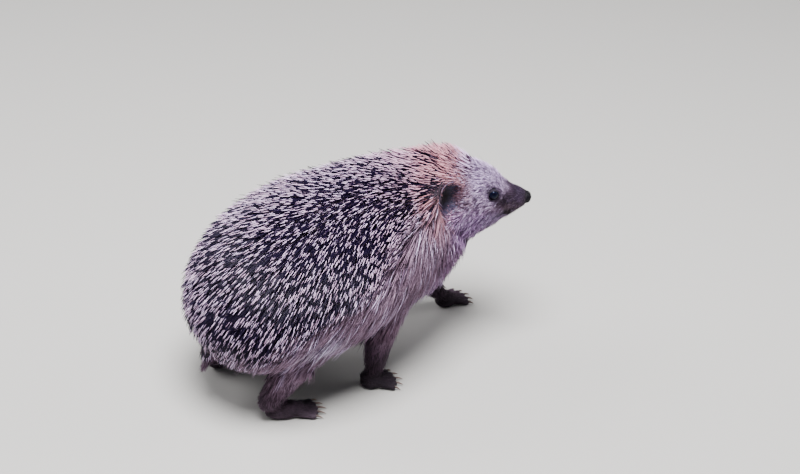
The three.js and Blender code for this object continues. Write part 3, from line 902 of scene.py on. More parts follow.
def claw_points(foot, i):
    """The rings of points of one toe's claw, and how far along it each of them is."""
    _, tip, angle = toe_line(foot, i)
    way = np.array([math.cos(angle), math.sin(angle), 0])
    length = foot_size(foot)["claw"] * (1 - OUTER_CLAW_SHORTER * abs(i / (TOES - 1) - 0.5))
    points, along = [], []
    for j in range(CLAW_RINGS):
        t = j / (CLAW_RINGS - 1)
        high = CLAW_ROOT_HIGH + CLAW_RISES * t - CLAW_CURVES * t * t
        middle = np.array(tip) + way * (length * t + CLAW_STARTS) + [0, 0, high]
        slope = np.array([0, 0, CLAW_RISES - 2 * CLAW_CURVES * t]) + way * length
        across = unit(np.cross(slope, [0, 0, 1]))
        over = unit(np.cross(across, slope))
        radius = CLAW_THICK * (1 - t) ** 0.7 + CLAW_TIP
        for k in range(CLAW_SIDES):
            a = 2 * math.pi * k / CLAW_SIDES
            spot = across * (CLAW_NARROW * radius * math.cos(a)) + over * (radius * math.sin(a))
            spot = middle + spot
            spot[2] = max(spot[2], GROUND_GAP / MM)
            points.append(np.array(soles[foot]) + np.array(foot_turn(foot)) @ spot * MM)
            along.append(t)
    return points, along


claw_places, claw_faces, claw_along = [], [], []
for foot in HEADINGS:
    for i in range(TOES):
        claw_faces += tube_faces(len(claw_places), CLAW_RINGS, CLAW_SIDES)
        points, along = claw_points(foot, i)
        claw_places += points
        claw_along += along
claws = modelled("claws", claw_places, claw_faces)
keep_value(claws.data, "along", claw_along)
claws.data.materials.append(claw_finish)
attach(claws, "root")
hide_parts("forefoot_right", "forefoot_left", "hindfoot_right", "hindfoot_left")

# ---------------------------------------------------------------- quills
# Some nine thousand hollow quills, about 20 mm long and 0.6 mm thick, cream at the root, dark
# brown-violet above it and cream again to the point, or dark all the way up. They lie back over
# the mantle, crossing a little, and stand a bit more on the crown.
QUILL_LENGTH, QUILL_THICK, QUILL_SPACING = 20.5, 0.6, 1.52
QUILL_RISE, QUILL_CURL, QUILL_SWAY = 25, 10, 3.2
QUILL_FORM = {"profile": [(0.0, 0.5), (0.12, 0.85), (0.45, 1.0), (0.80, 0.76), (0.94, 0.38)],
              "sides": 5, "flat": 1.0}
ALL_DARK_SHARE, ALL_DARK_LONGER = 0.5, 1.04
PATCH = 0.003
quill_draw = np.random.default_rng(41)


def ground_of(obj):
    """A surface of triangles that hair grows on: its places, normals, corners, UVs and areas."""
    places, corners = places_of(obj), corners_of(obj)
    uv = np.empty(len(corners) * 6)
    obj.data.uv_layers["OFBake"].data.foreach_get("uv", uv)
    a, b, c = places[corners].transpose(1, 0, 2)
    area = 0.5 * np.linalg.norm(np.cross(b - a, c - a), axis=1)
    return {"places": places, "normals": normals_of(obj), "corners": corners,
            "uv": uv.reshape(-1, 3, 2), "area": area}


ground = ground_of(skin)
skin_places, skin_normals = ground["places"], ground["normals"]
skin_ahead, skin_aside, skin_above = in_head(skin_places).T / MM
on_mantle, on_trunk, on_head, on_legs, on_feet = regions_of(skin, 10)


def tree_of(spots):
    tree = kdtree.KDTree(len(spots))
    for i, spot in enumerate(spots):
        tree.insert(spot, i)
    tree.balance()
    return tree


TRIES, CROWDING = 4, 0.82


def scattered(ground, wanted, spacing, draw):
    """Roots spread evenly over the ground, a spacing in millimetres apart, where wanted is above
    chance: each is a face and the shares of its corners."""
    corners, tri = ground["corners"], ground["places"][ground["corners"]]
    chance = ground["area"] * np.clip(wanted[corners].mean(1), 0, 1)
    tries = int(chance.sum() / (spacing * MM) ** 2 * TRIES)
    face = draw.choice(len(corners), tries, p=chance / chance.sum())
    first, second = draw.random((2, tries))
    over = first + second > 1
    first[over], second[over] = 1 - first[over], 1 - second[over]
    share = np.stack([1 - first - second, first, second], 1)
    spots = np.einsum("nk,nkc->nc", share, tri[face])
    tree = tree_of(spots)
    alive = np.ones(tries, bool)
    for i, spot in enumerate(spots):
        if alive[i]:
            for _, j, _ in tree.find_range(spot, CROWDING * spacing * MM):
                alive[j] = j == i
    return face[alive], share[alive], ground


def at_roots(values, roots):
    """A value kept at the ground's vertices, read at the roots."""
    face, share, ground = roots
    return np.einsum("nk,nk...->n...", share, values[ground["corners"][face]])


def flattened(ways, normals):
    """Directions laid along the surface."""
    return ways - normals * (ways * normals).sum(1)[:, None]


# Which way the hair lies: down and back on the sides, down the legs, and ahead on the feet.
SIDE_LIE, LIMB_LIE, FOOT_LIE = (-0.62, 0, -0.78), (-0.3, 0, -1), (0.8, 0, -0.5)
FRONT_LEAST = 0.35
DOWNHILL_PULL = 1.25


def skin_lie():
    """Which way the hair lies at each vertex of the skin, along the surface."""
    one = np.ones(len(skin_places))
    backward = [-1, 0, 0] + skin_normals * skin_normals[:, :1]
    fronting = np.maximum(np.linalg.norm(backward, axis=1, keepdims=True), FRONT_LEAST)
    backward /= np.where(skin_normals[:, :1] > 0, fronting, 1)
    downhill = unit([0, 0, -1] + skin_normals * skin_normals[:, 2:])
    beside = ease(np.abs(skin_places[:, 1]) / MM, 5, 32) * (1 - 0.75 * ease(skin_ahead, -75, -22))
    behind = ease(-skin_normals[:, 0], 0.35, 0.8)
    on_back = backward + downhill * (DOWNHILL_PULL * np.maximum(beside, behind))[:, None]
    spread = 0.35 * np.clip(skin_aside / 18, -1, 1)
    fall = -0.15 - 0.55 * (1 - ease(skin_above, -14, 4))
    on_face = np.stack([-one, spread, fall], 1) @ head_axes.T
    rest = np.clip(1 - on_mantle - on_head - on_legs - on_feet, 0, 1)
    lie = on_back * on_mantle[:, None] + np.array(SIDE_LIE) * rest[:, None]
    lie = lie + on_face * on_head[:, None] + np.array(LIMB_LIE) * on_legs[:, None]
    lie = lie + np.array(FOOT_LIE) * on_feet[:, None]
    return unit(smoothed(skin, unit(flattened(lie, skin_normals)), 12))


ground["lie"] = skin_lie()


def turned(ways, axes, angles):
    """Directions turned about axes, each by its own angle."""
    cos, sin = np.cos(angles)[:, None], np.sin(angles)[:, None]
    across = np.cross(axes, ways)
    return ways * cos + across * sin + axes * (ways * axes).sum(1)[:, None] * (1 - cos)


TRUING_TRIALS, TRUING_STEP = 4, 0.9
LOWEST_RISE, HIGHEST_RISE = math.radians(-12), math.radians(48)


def growth(roots, rise, curl, sway, length, draw, proud=None):
    """Each root's place, outward normal, and ways out of the skin at the root and at the tip.
    Rise is the angle off the skin and curl how far it flattens on the way, in degrees. With
    proud, the rise is trued so that tips end that far, in millimetres, outside the solids."""
    ground = roots[2]
    place, normal = at_roots(ground["places"], roots), unit(at_roots(ground["normals"], roots))
    way = unit(flattened(at_roots(ground["lie"], roots), normal))
    way = turned(way, normal, np.radians(draw.normal(0, sway, len(way))))
    rise = np.radians(rise)
    for trial in range(TRUING_TRIALS + 1):
        start, end = (
            way * np.cos(angle)[:, None] + normal * np.sin(angle)[:, None]
            for angle in (rise + np.radians(curl) / 2, rise - np.radians(curl) / 2)
        )
        if proud is None or trial == TRUING_TRIALS:
            return place, normal, start, end
        tips = place + (length * MM)[:, None] * (start + end) / 2
        beyond = np.empty(len(tips))
        for i, tip in enumerate(tips):
            spot, facing, _, _ = outer_form.find_nearest(tip)
            beyond[i] = (Vector(tip) - spot).dot(facing) / MM
        rise = rise - TRUING_STEP * (beyond - proud) / length
        rise = np.clip(rise, LOWEST_RISE, HIGHEST_RISE)


# Room kept before an ear's cup, with its middle to one side, and off the eyes and the ground.
EAR_ROOM_BEHIND, EAR_ROOM_AHEAD = -7.5, 7
EAR_ROOM_MIDDLE, EAR_ROOM_WIDE, EAR_ROOM_HIGH = 1.4, 7.6, 12.0
EYE_ROOM, GROUND_ROOM = 0.35 * MM, 0.3 * MM
SHORTER_EACH_TRIM = 0.62


def clear(grown, length):
    """Which tufts keep out of the ears' cups, the eyes and the ground."""
    place, _, start, end = grown
    kept = np.ones(len(place), bool)
    for t in (0.25, 0.5, 0.75, 1.0):
        spot = place + (length * MM * t)[:, None] * (start + 0.5 * t * (end - start))
        for side, sign in SIDES.items():
            x, y, z = in_ear(spot, side).T
            round_cup = ((y * sign - EAR_ROOM_MIDDLE) / EAR_ROOM_WIDE) ** 2 + (z / EAR_ROOM_HIGH) ** 2
            kept &= ~((x > EAR_ROOM_BEHIND) & (x < EAR_ROOM_AHEAD) & (round_cup < 1))
            kept &= distance(spot, eye_places[side]) > EYE_RADIUS + EYE_ROOM
        kept &= spot[:, 2] > GROUND_ROOM
    return kept


def trimmed(grown, length):
    """Shortens tufts that get in the way, and says which then keep clear."""
    length = length.copy()
    for _ in range(3):
        length[~clear(grown, length)] *= SHORTER_EACH_TRIM
    return length, clear(grown, length)


def spike_faces(steps, sides):
    """The faces of one spike over rings at the given steps, and each corner's place in its
    patch: round the spike across, and up it from root to tip."""
    faces, cells = [], []
    ends = [*steps[1:], 1.0]
    for j, (low, high) in enumerate(zip(steps, ends)):
        for k in range(sides):
            a, b = j * sides + k, j * sides + (k + 1) % sides
            left, right = k / sides, (k + 1) / sides
            if j < len(steps) - 1:
                faces.append((a, b, b + sides, a + sides))
                cells.append(((left, low), (right, low), (right, high), (left, high)))
            else:
                faces.append((a, b, len(steps) * sides))
                cells.append(((left, low), (right, low), ((left + right) / 2, high)))
    faces.append(tuple(reversed(range(sides))))
    cells.append(tuple((k / sides, 0.02 * k) for k in reversed(range(sides))))
    return faces, np.concatenate([np.array(cell) for cell in cells])


def tufts(name, chosen, coat, form, material, nodes):
    """One piece of the coat: a closed tapered spike on each chosen root, its sizes in
    millimetres. Its OFBake patch lies where its root does on the skin's unwrapping."""
    face, share, ground = coat["roots"]
    place, normal, start, end = (values[chosen] for values in coat["grown"])
    length, thick, whim = coat["length"][chosen], coat["thick"][chosen], coat["whim"][chosen]
    steps, widths = np.array(form["profile"]).T
    sides, count = form["sides"], len(place)
    t = steps[None, :, None]
    line = place[:, None] + (length * MM)[:, None, None] * (
        t * start[:, None] + 0.5 * t * t * (end - start)[:, None]
    )
    along = unit(start[:, None] + t * (end - start)[:, None])
    across = unit(np.cross(along, normal[:, None]))
    over = np.cross(along, across)
    turns = np.arange(sides) * 2 * math.pi / sides
    radius = (thick * MM / 2)[:, None, None, None] * widths[None, :, None, None]
    ring = line[:, :, None] + radius * (
        across[:, :, None] * np.cos(turns)[None, None, :, None]
        + form["flat"] * over[:, :, None] * np.sin(turns)[None, None, :, None]
    )
    tips = place + (length * MM)[:, None] * (start + 0.5 * (end - start))
    per = len(steps) * sides + 1
    points = np.concatenate([ring.reshape(count, -1, 3), tips[:, None]], 1).reshape(-1, 3)
    faces, cells = spike_faces(steps, sides)
    loops = (np.concatenate(faces)[None] + per * np.arange(count)[:, None]).ravel()
    root_uv = np.einsum("nk,nkc->nc", share[chosen], ground["uv"][face[chosen]])
    uv = root_uv[:, None] + PATCH * (cells - 0.5)[None]
    sizes = np.tile([len(corners) for corners in faces], count)
    mesh = bpy.data.meshes.new(name)
    mesh.vertices.add(len(points))
    mesh.vertices.foreach_set("co", points.ravel())
    mesh.loops.add(len(loops))
    mesh.loops.foreach_set("vertex_index", loops)
    mesh.polygons.add(len(sizes))
    mesh.polygons.foreach_set("loop_start", np.concatenate([[0], np.cumsum(sizes)[:-1]]))
    mesh.polygons.foreach_set("use_smooth", np.ones(len(sizes), bool))
    mesh.uv_layers.new(name="OFBake").data.foreach_set("uv", uv.ravel())
    root = mesh.attributes.new("root", "FLOAT_VECTOR", "POINT")
    root.data.foreach_set("vector", np.repeat(place, per, axis=0).ravel())
    keep_value(mesh, "whim", np.repeat(whim, per))
    keep_value(mesh, "along", np.tile(np.append(np.repeat(steps, sides), 1.0), count))
    mesh.update(calc_edges=True)
    mesh.validate()
    mesh.materials.append(material)
    piece = linked(bpy.data.objects.new(name, mesh))
    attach(piece, "root")
    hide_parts(*nodes)


def by_chance(tree, root):
    """A random number or colour for each tuft."""
    return node(tree, "TexWhiteNoise", {"noise_dimensions": "3D"}, Vector=root)


def arithmetic(tree, kind, *values):
    inputs = {f"n{i}": value for i, value in enumerate(values)}
    return node(tree, "Math", {"operation": kind}, **inputs).outputs[0]


BONE, BONE_SHADE, BONE_DULL = paint(244, 226, 255), paint(234, 208, 255), paint(144, 108, 160)
CREAM, WORN_TIP = paint(240, 180, 206), paint(150, 116, 104)
DARK_BAND, DARK_BAND_LIGHT, DARK_BAND_WARM = paint(9, 3, 24), paint(25, 12, 46), paint(98, 54, 70)
quill_finish, tree, shader = finish("quill", Roughness=0.4, Specular_IOR_Level=0.22)
along, whim = kept_value(tree, "along"), kept_value(tree, "whim")
root = kept_value(tree, "root", "Vector")
band = arithmetic(tree, "MULTIPLY_ADD", whim, 0.09, along)
grain = noise(tree, object_place(tree), 900.0)
chance = by_chance(tree, root).outputs["Value"]
bone = mixed(tree, grain, BONE, BONE_SHADE)
dull = mixed(tree, reranged(tree, chance, 0.5, 0.95, 0.0, 0.7), bone, BONE_DULL)
cream = mixed(tree, reranged(tree, whim, 0.5, 1.0, 0.0, 0.35), dull, CREAM)
warm = mixed(tree, reranged(tree, whim, 1.0, 2.6, 0.12, 0.8), cream, marked_at(tree, root))
violet = mixed(tree, grain, DARK_BAND, DARK_BAND_LIGHT)
dark = mixed(tree, reranged(tree, whim, 2.4, 5.2, 0.0, 0.5), violet, DARK_BAND_WARM)
lower = mixed(tree, reranged(tree, band, 0.24, 0.34), warm, dark)
pale_tip = reranged(tree, band, 0.82, 0.85)
tipped = arithmetic(tree, "MULTIPLY", pale_tip, reranged(tree, whim, 0.46, 0.5))
upper = mixed(tree, tipped, lower, warm)
worn = mixed(tree, reranged(tree, along, 0.95, 1.0, 0.0, 0.7), upper, WORN_TIP)
feed(tree, worn, shader, "Base Color")
bumped(tree, shader, grain, 0.1 * MM, 0.4)

# The quills cover the mantle and the crown, down to a curved hairline over the forehead. A quill
# with a whim under 0.5 is dark all the way up; from 1 to 5 it takes on the nape's warm colour.
crowned = 1 - ease(skin_ahead + 0.016 * skin_aside**2, 13, 17)
crowned = crowned * ease(skin_above, 9, 15) * (skin_ahead > -30)
quilled = np.maximum(ease(on_mantle, 0.35, 0.6), crowned)
quill_roots = scattered(ground, quilled, QUILL_SPACING, quill_draw)
count = len(quill_roots[0])
quill_places = at_roots(skin_places, quill_roots)
ahead = in_head(quill_places).T[0] / MM
crown, shoulder = ease(ahead, -22, 8), ease(ahead, -60, -10)
edge = np.maximum(at_roots(on_mantle, quill_roots), crown)
quill_length = QUILL_LENGTH * (0.9 + 0.14 * quill_draw.random(count)) * (1 - 0.25 * crown)
quill_length *= 0.8 + 0.2 * ease(edge, 0.5, 0.95)
quill_thick = QUILL_THICK * (0.85 + 0.35 * quill_draw.random(count)) * (1 - 0.2 * crown)
rise = quill_draw.normal(QUILL_RISE, 4, count) + 4 * crown
# Quills on skin that faces up are less often dark all the way up: painted light on the top of the back.
sky_lit_top = ease(at_roots(skin_normals, quill_roots)[:, 2], 0.7, 0.96)
all_dark = quill_draw.random(count) < ALL_DARK_SHARE - 0.12 * sky_lit_top - 0.26 * shoulder
quill_whim = 0.5 + 0.5 * quill_draw.random(count) + shoulder
quill_whim = quill_whim + crown * quill_draw.uniform(0.8, 3.8, count)
quill_whim[all_dark] = 0.4 * quill_draw.random(all_dark.sum())
quill_length[all_dark] *= ALL_DARK_LONGER
proud = quill_draw.normal(-0.6, 1.0, count) + 0.8 * crown + 0.6 * all_dark
grown = growth(quill_roots, rise, QUILL_CURL, QUILL_SWAY, quill_length, quill_draw, proud)
quills = {"roots": quill_roots, "grown": grown, "length": quill_length, "thick": quill_thick,
          "whim": quill_whim}
kept = clear(grown, quill_length)
CROWN_FROM, RUMP_TO = 28, -50
left = quill_places[:, 1] > 0
back = quill_places[:, 0] / MM
crowning, rumped = back > CROWN_FROM, back <= RUMP_TO
parts = {
    "quills_crown": crowning,
    "quills_flank_left": ~crowning & ~rumped & left,
    "quills_flank_right": ~crowning & ~rumped & ~left,
    "quills_rump_left": rumped & left,
    "quills_rump_right": rumped & ~left,
}
for name, chosen in parts.items():
    tufts(name, chosen & kept, quills, QUILL_FORM, quill_finish, ["mantle"])

# ---------------------------------------------------------------- long fur of the sides
# Coarse hair, 9 to 26 mm long, sweeps back and down from under the quills over the flanks,
# chest and throat. It is tan-brown with paler and darker strands, and whitish at the fringe.
FUR_SPACING, FUR_LENGTH, FUR_SHORTER_AHEAD = 1.35, 23, 11
FUR_RISE, FUR_CURL, FUR_SWAY = 8, 26, 8
FUR_THIN, FUR_THICKER = 0.48, 0.7
FUR_PROUD, FUR_PROUD_SPREAD = -0.6, 1.2
CLUMP_OF, CLUMP_PULL = 14, 0.5
FUR_FORM = {"profile": [(0.0, 0.7), (0.35, 1.0), (0.72, 0.62)], "sides": 3, "flat": 0.6}
HAIR_ROOT, HAIR_PALE, HAIR_DARK = paint(64, 46, 64), paint(234, 212, 255), paint(56, 36, 56)
HAIR_WORN, HAIR_SHADE = paint(106, 80, 96), paint(88, 62, 88)
fur_draw = np.random.default_rng(42)


def hair_finish(name, pale, dusky, root_shade, stray=5.0, freckled=0.0):
    """Hair that follows the markings: how far its palest strands go to white and its darkest to
    brown, how dark it is at the root, how many millimetres its colour strays from its place, and
    how far pale strands also show on dark ground."""
    material, tree, shader = finish(name, Roughness=0.6, Specular_IOR_Level=0.25)
    along, whim = kept_value(tree, "along"), kept_value(tree, "whim")
    root = kept_value(tree, "root", "Vector")
    strands = noise(tree, object_place(tree), 500.0, 3.0)
    astray = by_chance(tree, root).outputs["Color"]
    near_by = vector_sum(tree, "MULTIPLY_ADD", n0=astray, n1=[stray * MM] * 3, n2=root)
    nearer = vector_sum(tree, "SUBTRACT", n0=near_by, n1=[stray * MM / 2] * 3)
    marked = marked_at(tree, nearer)
    rooted = mixed(tree, root_shade, marked, HAIR_ROOT, "MULTIPLY")
    shaft = mixed(tree, reranged(tree, along, 0.0, 0.55), rooted, marked)
    lightness = reranged(tree, node(tree, "RGBToBW", Color=marked).outputs[0], 0.08, 0.3, freckled)
    # On the long fur the whim also holds painted depth shade, so deeper strands go darker and outer ones
    # paler.
    paler = arithmetic(tree, "MULTIPLY", lightness, reranged(tree, whim, 0.66, 0.95, 0.0, pale))
    light = mixed(tree, paler, shaft, HAIR_PALE)
    dark = mixed(tree, reranged(tree, whim, 0.28, 0.0, 0.0, dusky), light, HAIR_DARK)
    worn = mixed(tree, reranged(tree, strands, 0.4, 0.7, 0.0, 0.25), dark, HAIR_WORN)
    locks = reranged(tree, noise(tree, root, 380.0), 0.46, 0.64, 0.0, 0.9)
    feed(tree, mixed(tree, locks, worn, HAIR_SHADE, "MULTIPLY"), shader, "Base Color")
    bumped(tree, shader, strands, 0.1 * MM, 0.4)
    return material


def clumped(grown, spacing, pull, length, draw):
    """Leans each tuft's tip towards the middle of the clump that it belongs to."""
    place, normal, start, end = grown
    tree = tree_of(place[draw.permutation(len(place))[: max(1, int(len(place) / spacing))]])
    nearest = np.array([tree.find(spot)[0] for spot in place])
    lean = (nearest - place) * pull / (length * MM)[:, None]
    return place, normal, unit(start + 0.3 * lean), unit(end + lean)


shaggy = np.clip(on_trunk + 0.6 * on_mantle * (on_trunk > 0.08), 0, 1)
shaggy = np.maximum(shaggy, on_head * (1 - ease(skin_ahead, -2, 14))) * (1 - 0.85 * crowned)
shaggy = ease(shaggy, 0.3, 0.55) * (1 - 0.97 * ease(on_legs + on_feet, 0.45, 0.8))
fur_roots = scattered(ground, shaggy, FUR_SPACING, fur_draw)
count = len(fur_roots[0])
fur_places = at_roots(skin_places, fur_roots)
leg_share = at_roots(on_legs, fur_roots)
ahead = in_head(fur_places).T[0] / MM
fur_length = FUR_LENGTH - FUR_SHORTER_AHEAD * ease(ahead, -22, 8)
fur_length = fur_length * (1 - 0.35 * leg_share) * (0.75 + 0.4 * fur_draw.random(count))
fur_length *= 1 - 0.6 * ease(-fur_places[:, 0] / MM, 88, 108)
fur_thick = FUR_THIN + FUR_THICKER * fur_draw.random(count) ** 3
rise = fur_draw.normal(FUR_RISE, 4, count)
proud = fur_draw.normal(FUR_PROUD, FUR_PROUD_SPREAD, count)
grown = growth(fur_roots, rise, FUR_CURL, FUR_SWAY, fur_length, fur_draw, proud)
grown = clumped(grown, CLUMP_OF, CLUMP_PULL, fur_length, fur_draw)
fur_length, kept = trimmed(grown, fur_length)
# A strand's whim is partly chance and partly painted depth shade: strands lying deeper are darker, the
# outermost paler.
outermost = 0.5 + (proud - FUR_PROUD) / (3 * FUR_PROUD_SPREAD)
fur_whim_and_depth_shade = np.clip(0.55 * fur_draw.random(count) + 0.45 * outermost, 0, 1)
fur = {"roots": fur_roots, "grown": grown, "length": fur_length, "thick": fur_thick,
       "whim": fur_whim_and_depth_shade}
fur_finish = hair_finish("fur", 0.95, 0.85, 0.9)
CHEST_FROM = 22
left = fur_places[:, 1] > 0
front = fur_places[:, 0] / MM > CHEST_FROM
parts = {
    "fur_side_left": left & ~front, "fur_side_right": ~left & ~front,
    "fur_chest_left": left & front, "fur_chest_right": ~left & front,
}
for name, chosen in parts.items():
    tufts(name, chosen & kept, fur, FUR_FORM, fur_finish, ["trunk", "neck"])

# ---------------------------------------------------------------- short fur of the face
# Dense hair, 10 mm long under the quills, 5 mm on the forehead and just over 1 mm by the nose,
# lying back from the nose. It follows the same markings as the skin beneath it.
FACE_SPACING, FACE_RISE, FACE_CURL, FACE_SWAY = 0.64, 18, 18, 14
FACE_LENGTHS = [(-5, 10), (10, 8), (24, 4.8), (36, 3.1), (46, 1.9), (52, 1.2)]
FACE_THICKS = [(-5, 0.5), (8, 0.44), (30, 0.36), (50, 0.24)]
LID_BARE = 4.16 * MM
SHORT_FORM = {"profile": [(0.0, 0.8), (0.5, 0.8)], "sides": 3, "flat": 0.6}
face_draw = np.random.default_rng(43)
short = ease(on_head, 0.25, 0.5) * (1 - ease(skin_ahead, 52.6, 53.8))
short *= 1 - 0.9 * (np.abs(skin_above - mouth_line(skin_ahead)) < 0.7) * (skin_ahead > 38)
for eye in eye_places.values():
    short *= distance(skin_places, eye) > LID_BARE
face_roots = scattered(ground, short, FACE_SPACING, face_draw)
count = len(face_roots[0])
face_places = at_roots(skin_places, face_roots)
ahead, aside, above = in_head(face_places).T / MM
face_length = read_off(FACE_LENGTHS, ahead)
for eye in eye_places.values():
    face_length *= 0.4 + 0.6 * ease(distance(face_places, eye) / MM, 4.3, 8)
face_length *= 0.75 + 0.5 * face_draw.random(count)
face_thick = read_off(FACE_THICKS, ahead) * (0.8 + 0.4 * face_draw.random(count))
rise = face_draw.normal(FACE_RISE, 7, count)
grown = growth(face_roots, rise, FACE_CURL, FACE_SWAY, face_length, face_draw)
face_whim = face_draw.random(count)
face_length, kept = trimmed(grown, face_length)
face_fur = {"roots": face_roots, "grown": grown, "length": face_length, "thick": face_thick,
            "whim": face_whim}
face_finish = hair_finish("face_fur", 0.9, 0.8, 0.8, 2.6, 0.22)
for name, chosen in {"fur_face_left": aside > 0, "fur_face_right": aside <= 0}.items():
    tufts(name, chosen & kept, face_fur, SHORT_FORM, face_finish, ["head", "lower_jaw"])

# ---------------------------------------------------------------- fur of the limbs and tail
# The hair runs down the legs, 15 mm long at the top and under 1 mm on the feet, and leaves the
# toes' ends and the soles bare. It covers the short tail as well.
LIMB_SPACING, LIMB_RISE, LIMB_CURL, LIMB_SWAY = 0.78, 12, 20, 10
LIMB_LENGTHS = [(2, 0.9), (6, 1.3), (12, 2.6), (20, 5), (34, 10), (50, 15)]
LIMB_THICKS = [(2, 0.26), (12, 0.38), (40, 0.55)]
LIMB_PROUD = [(2, 0.6), (20, 0.3), (45, -0.4)]
TOE_BARE, SOLE_BARE, TAIL_ROUND = 2.9 * MM, 2 * MM, 22 * MM
TAIL_SHORTER = 0.45
limb_draw = np.random.default_rng(44)
hairy = ease(on_legs + on_feet, 0.35, 0.6) * (skin_places[:, 2] > SOLE_BARE)
for foot in HEADINGS:
    for i in range(TOES):
        tip = np.array(soles[foot] + foot_turn(foot) @ toe_line(foot, i)[1] * MM)
        hairy *= distance(skin_places, tip) > TOE_BARE
hairy *= 1 - 0.5 * ease(skin_places[:, 2] / MM, 9, 16)
limb_roots = scattered(ground, hairy, LIMB_SPACING, limb_draw)
count = len(limb_roots[0])
limb_places = at_roots(skin_places, limb_roots)
height = limb_places[:, 2] / MM
limb_length = read_off(LIMB_LENGTHS, height) * (0.75 + 0.5 * limb_draw.random(count))
limb_length[distance(limb_places, middle_of("tail")) < TAIL_ROUND] *= TAIL_SHORTER
proud = read_off(LIMB_PROUD, height) + limb_draw.normal(0, 0.5, count)
rise = limb_draw.normal(LIMB_RISE, 5, count)
grown = growth(limb_roots, rise, LIMB_CURL, LIMB_SWAY, limb_length, limb_draw, proud)
limb_length, kept = trimmed(grown, limb_length)
limb_fur = {"roots": limb_roots, "grown": grown, "length": limb_length,
            "thick": read_off(LIMB_THICKS, height), "whim": limb_draw.random(count)}
limb_finish = hair_finish("limb_fur", 0.12, 0.5, 0.6)
limb_nodes = ["foreleg_right", "foreleg_left", "hindleg_right", "hindleg_left", "tail"]
tufts("fur_limbs", kept, limb_fur, SHORT_FORM, limb_finish, limb_nodes)

# ---------------------------------------------------------------- down of the ears
# Fine down, 2 to 3 mm long, covers the back of each ear and stands up off its rim, and grows
# thinly in its lining.
DOWN_SPACING, DOWN_THICK, DOWN_RISE, DOWN_CURL, DOWN_SWAY = 0.5, 0.2, 14, 12, 16
DOWN_SHORTEST, DOWN_LONGEST = 1.6, 3.0
DOWN_ON_RIM, DOWN_IN_LINING = 0.6, 0.08
RIM_WIDE, RIM_HIGH = 9.5, 13.5
ear_draw = np.random.default_rng(45)
down_finish = hair_finish("ear_down", 0.3, 0.5, 0.4)
for side, sign in SIDES.items():
    form = twin(ears[side], "ear_form")
    apply_modifier(form, "TRIANGULATE")
    unwrap(form)
    shell = ground_of(form)
    out, across, upward = in_ear(shell["places"], side).T
    outward = (shell["normals"] @ ear_axes(sign))[:, 0]
    within = np.hypot(across / (EAR_WIDE / 2), upward / (EAR_HIGH / 2))
    on_back = (outward < 0.2) & (upward > -10)
    lining = (outward > 0) & (within > 0.45) & (across * sign < 3.5)
    rim = (within > 0.93) & (np.abs(out) < 1.2)
    wanted = np.clip(on_back + DOWN_IN_LINING * lining + DOWN_ON_RIM * rim, 0, 1)
    to_rim = np.stack([np.full(len(out), 0.6), across / RIM_WIDE, upward / RIM_HIGH + 0.3], 1)
    shell["lie"] = unit(flattened(unit(to_rim) @ ear_axes(sign).T, shell["normals"]))
    roots = scattered(shell, wanted, DOWN_SPACING, ear_draw)
    count = len(roots[0])
    length = ear_draw.uniform(DOWN_SHORTEST, DOWN_LONGEST, count)
    rise = ear_draw.normal(DOWN_RISE, 6, count)
    grown = growth(roots, rise, DOWN_CURL, DOWN_SWAY, length, ear_draw)
    down = {"roots": roots, "grown": grown, "length": length, "thick": np.full(count, DOWN_THICK),
            "whim": ear_draw.random(count)}
    everywhere = np.ones(count, bool)
    tufts("ear_down_" + side, everywhere, down, SHORT_FORM, down_finish, ["ear_" + side])
    bpy.data.objects.remove(form)

# ---------------------------------------------------------------- whiskers
# Stiff dark hairs, 8 to 24 mm long, in rows on each whisker pad and a few over each eye. They
# sweep outwards and back, and droop at the tip.
WHISKER_RINGS, WHISKER_SIDES = 7, 4
WHISKER_THICK, WHISKER_SUNK, WHISKER_THINS = 0.11 * MM, 0.5 * MM, 0.85
WHISKER_DROOP = (-0.35, 0, -0.25)
PAD_COLUMNS, PAD_ROWS = (39.5, 42, 44.5, 47), (-1.0, -3.2, -5.4)
BROW_WHISKERS = [(26.5, 11.5, 11), (29, 11.8, 10), (24, 11.0, 10)]  # ahead, above, length
WHISKER_DARK, WHISKER_PALE = paint(24, 18, 22), paint(74, 58, 62)
whisker_draw = np.random.default_rng(46)
whisker_finish, tree, shader = finish("whisker", Roughness=0.4)
streak = noise(tree, object_place(tree), 800.0)
feed(tree, mixed(tree, streak, WHISKER_DARK, WHISKER_PALE), shader, "Base Color")
skin_form = BVHTree.FromPolygons(skin_places.tolist(), ground["corners"].tolist())


def whisker_points(sign, ahead, above, length):
    """The rings of points of one whisker, from just under the skin to its tip."""
    ahead, above = np.array([ahead, above]) + whisker_draw.normal(0, 0.25, 2)
    beside, inward = Vector(from_head(ahead, sign * 40, above)), Vector(head_axes @ [0, -sign, 0])
    start = np.array(skin_form.ray_cast(beside, inward)[0])
    rise = 0.1 if above < 5 else 0.9
    way = np.array([-0.35, sign * 1.0, rise]) + whisker_draw.normal(0, 0.12, 3)
    way = unit(head_axes @ way)
    droop = head_axes @ np.array(WHISKER_DROOP)
    across = unit(np.cross(way, head_axes[:, 2]))
    over = np.cross(across, way)
    reach = length * whisker_draw.uniform(0.8, 1.15) * MM
    points = []
    for t in np.linspace(0, 1, WHISKER_RINGS):
        middle = start + way * (reach * t - WHISKER_SUNK) + droop * (reach * t * t)
        thin = WHISKER_THICK * (1 - WHISKER_THINS * t)
        for turn in np.arange(WHISKER_SIDES) * 2 * math.pi / WHISKER_SIDES:
            points.append(middle + across * thin * math.cos(turn) + over * thin * math.sin(turn))
    return points


pad = [(ahead, above, 13 + 1.2 * (46 - ahead)) for ahead in PAD_COLUMNS for above in PAD_ROWS]
spots, faces = [], []
for sign in SIDES.values():
    for place in pad + BROW_WHISKERS:
        faces += tube_faces(len(spots), WHISKER_RINGS, WHISKER_SIDES)
        spots += whisker_points(sign, *place)
whiskers = modelled("whiskers", spots, faces)
whiskers.data.materials.append(whisker_finish)
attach(whiskers, "root")

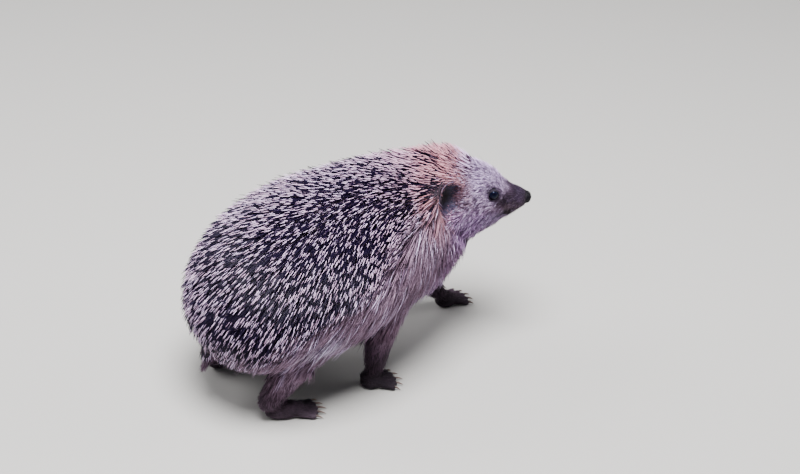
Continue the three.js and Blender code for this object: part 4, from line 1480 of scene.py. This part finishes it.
# ---------------------------------------------------------------- floor, light and camera
# A pale plain floor, one wide soft lamp overhead with weaker ones before and behind, and the
# camera above and to the right of the animal, a little behind its head.
FLOOR_ACROSS, FLOOR_PALE = 6, (0.44, 0.428, 0.416, 1)
ROOM_LIGHT, ROOM_STRENGTH = (0.93, 0.96, 1.0, 1), 0.25
bpy.ops.mesh.primitive_plane_add(size=FLOOR_ACROSS)
floor = bpy.context.object
floor.name = "floor"
floor_finish, _, _ = finish("floor", Roughness=0.9, Base_Color=FLOOR_PALE)
floor.data.materials.append(floor_finish)


def soft_lamp(name, place, size, power):
    """A round lamp that faces the middle of the animal: metres and watts."""
    lamp = linked(bpy.data.objects.new(name, bpy.data.lights.new(name, "AREA")))
    lamp.data.shape = "DISK"
    lamp.data.size = size
    lamp.data.energy = power
    lamp.location = place
    lamp.rotation_euler = (Vector((0, 0, 0.07)) - Vector(place)).to_track_quat("-Z", "Y").to_euler()


soft_lamp("lamp_overhead", (-0.12, -0.28, 1.3), 0.72, 58)
soft_lamp("lamp_front", (1.0, -0.3, 0.8), 0.7, 4)
soft_lamp("lamp_behind", (-0.7, 0.8, 0.9), 0.8, 11)
world = bpy.data.worlds.new("room")
world.use_nodes = True
world.node_tree.nodes["Background"].inputs["Color"].default_value = ROOM_LIGHT
world.node_tree.nodes["Background"].inputs["Strength"].default_value = ROOM_STRENGTH
bpy.context.scene.world = world

CAMERA_AIM, CAMERA_AWAY = Vector((0.0378, 0.0116, 0.0795)), 1.1
CAMERA_AROUND, CAMERA_RAISED = math.radians(-28), math.radians(30)
CAMERA_LENS, CAMERA_SENSOR = 72.3, 36
away = Vector((
    math.sin(CAMERA_AROUND) * math.cos(CAMERA_RAISED),
    -math.cos(CAMERA_AROUND) * math.cos(CAMERA_RAISED),
    math.sin(CAMERA_RAISED),
))
camera = linked(bpy.data.objects.new("camera", bpy.data.cameras.new("camera")))
camera.data.lens = CAMERA_LENS
camera.data.sensor_width = CAMERA_SENSOR
camera.location = CAMERA_AIM + away * CAMERA_AWAY
camera.rotation_euler = away.to_track_quat("Z", "Y").to_euler()
bpy.context.scene.camera = camera

bpy.context.view_layer.update()
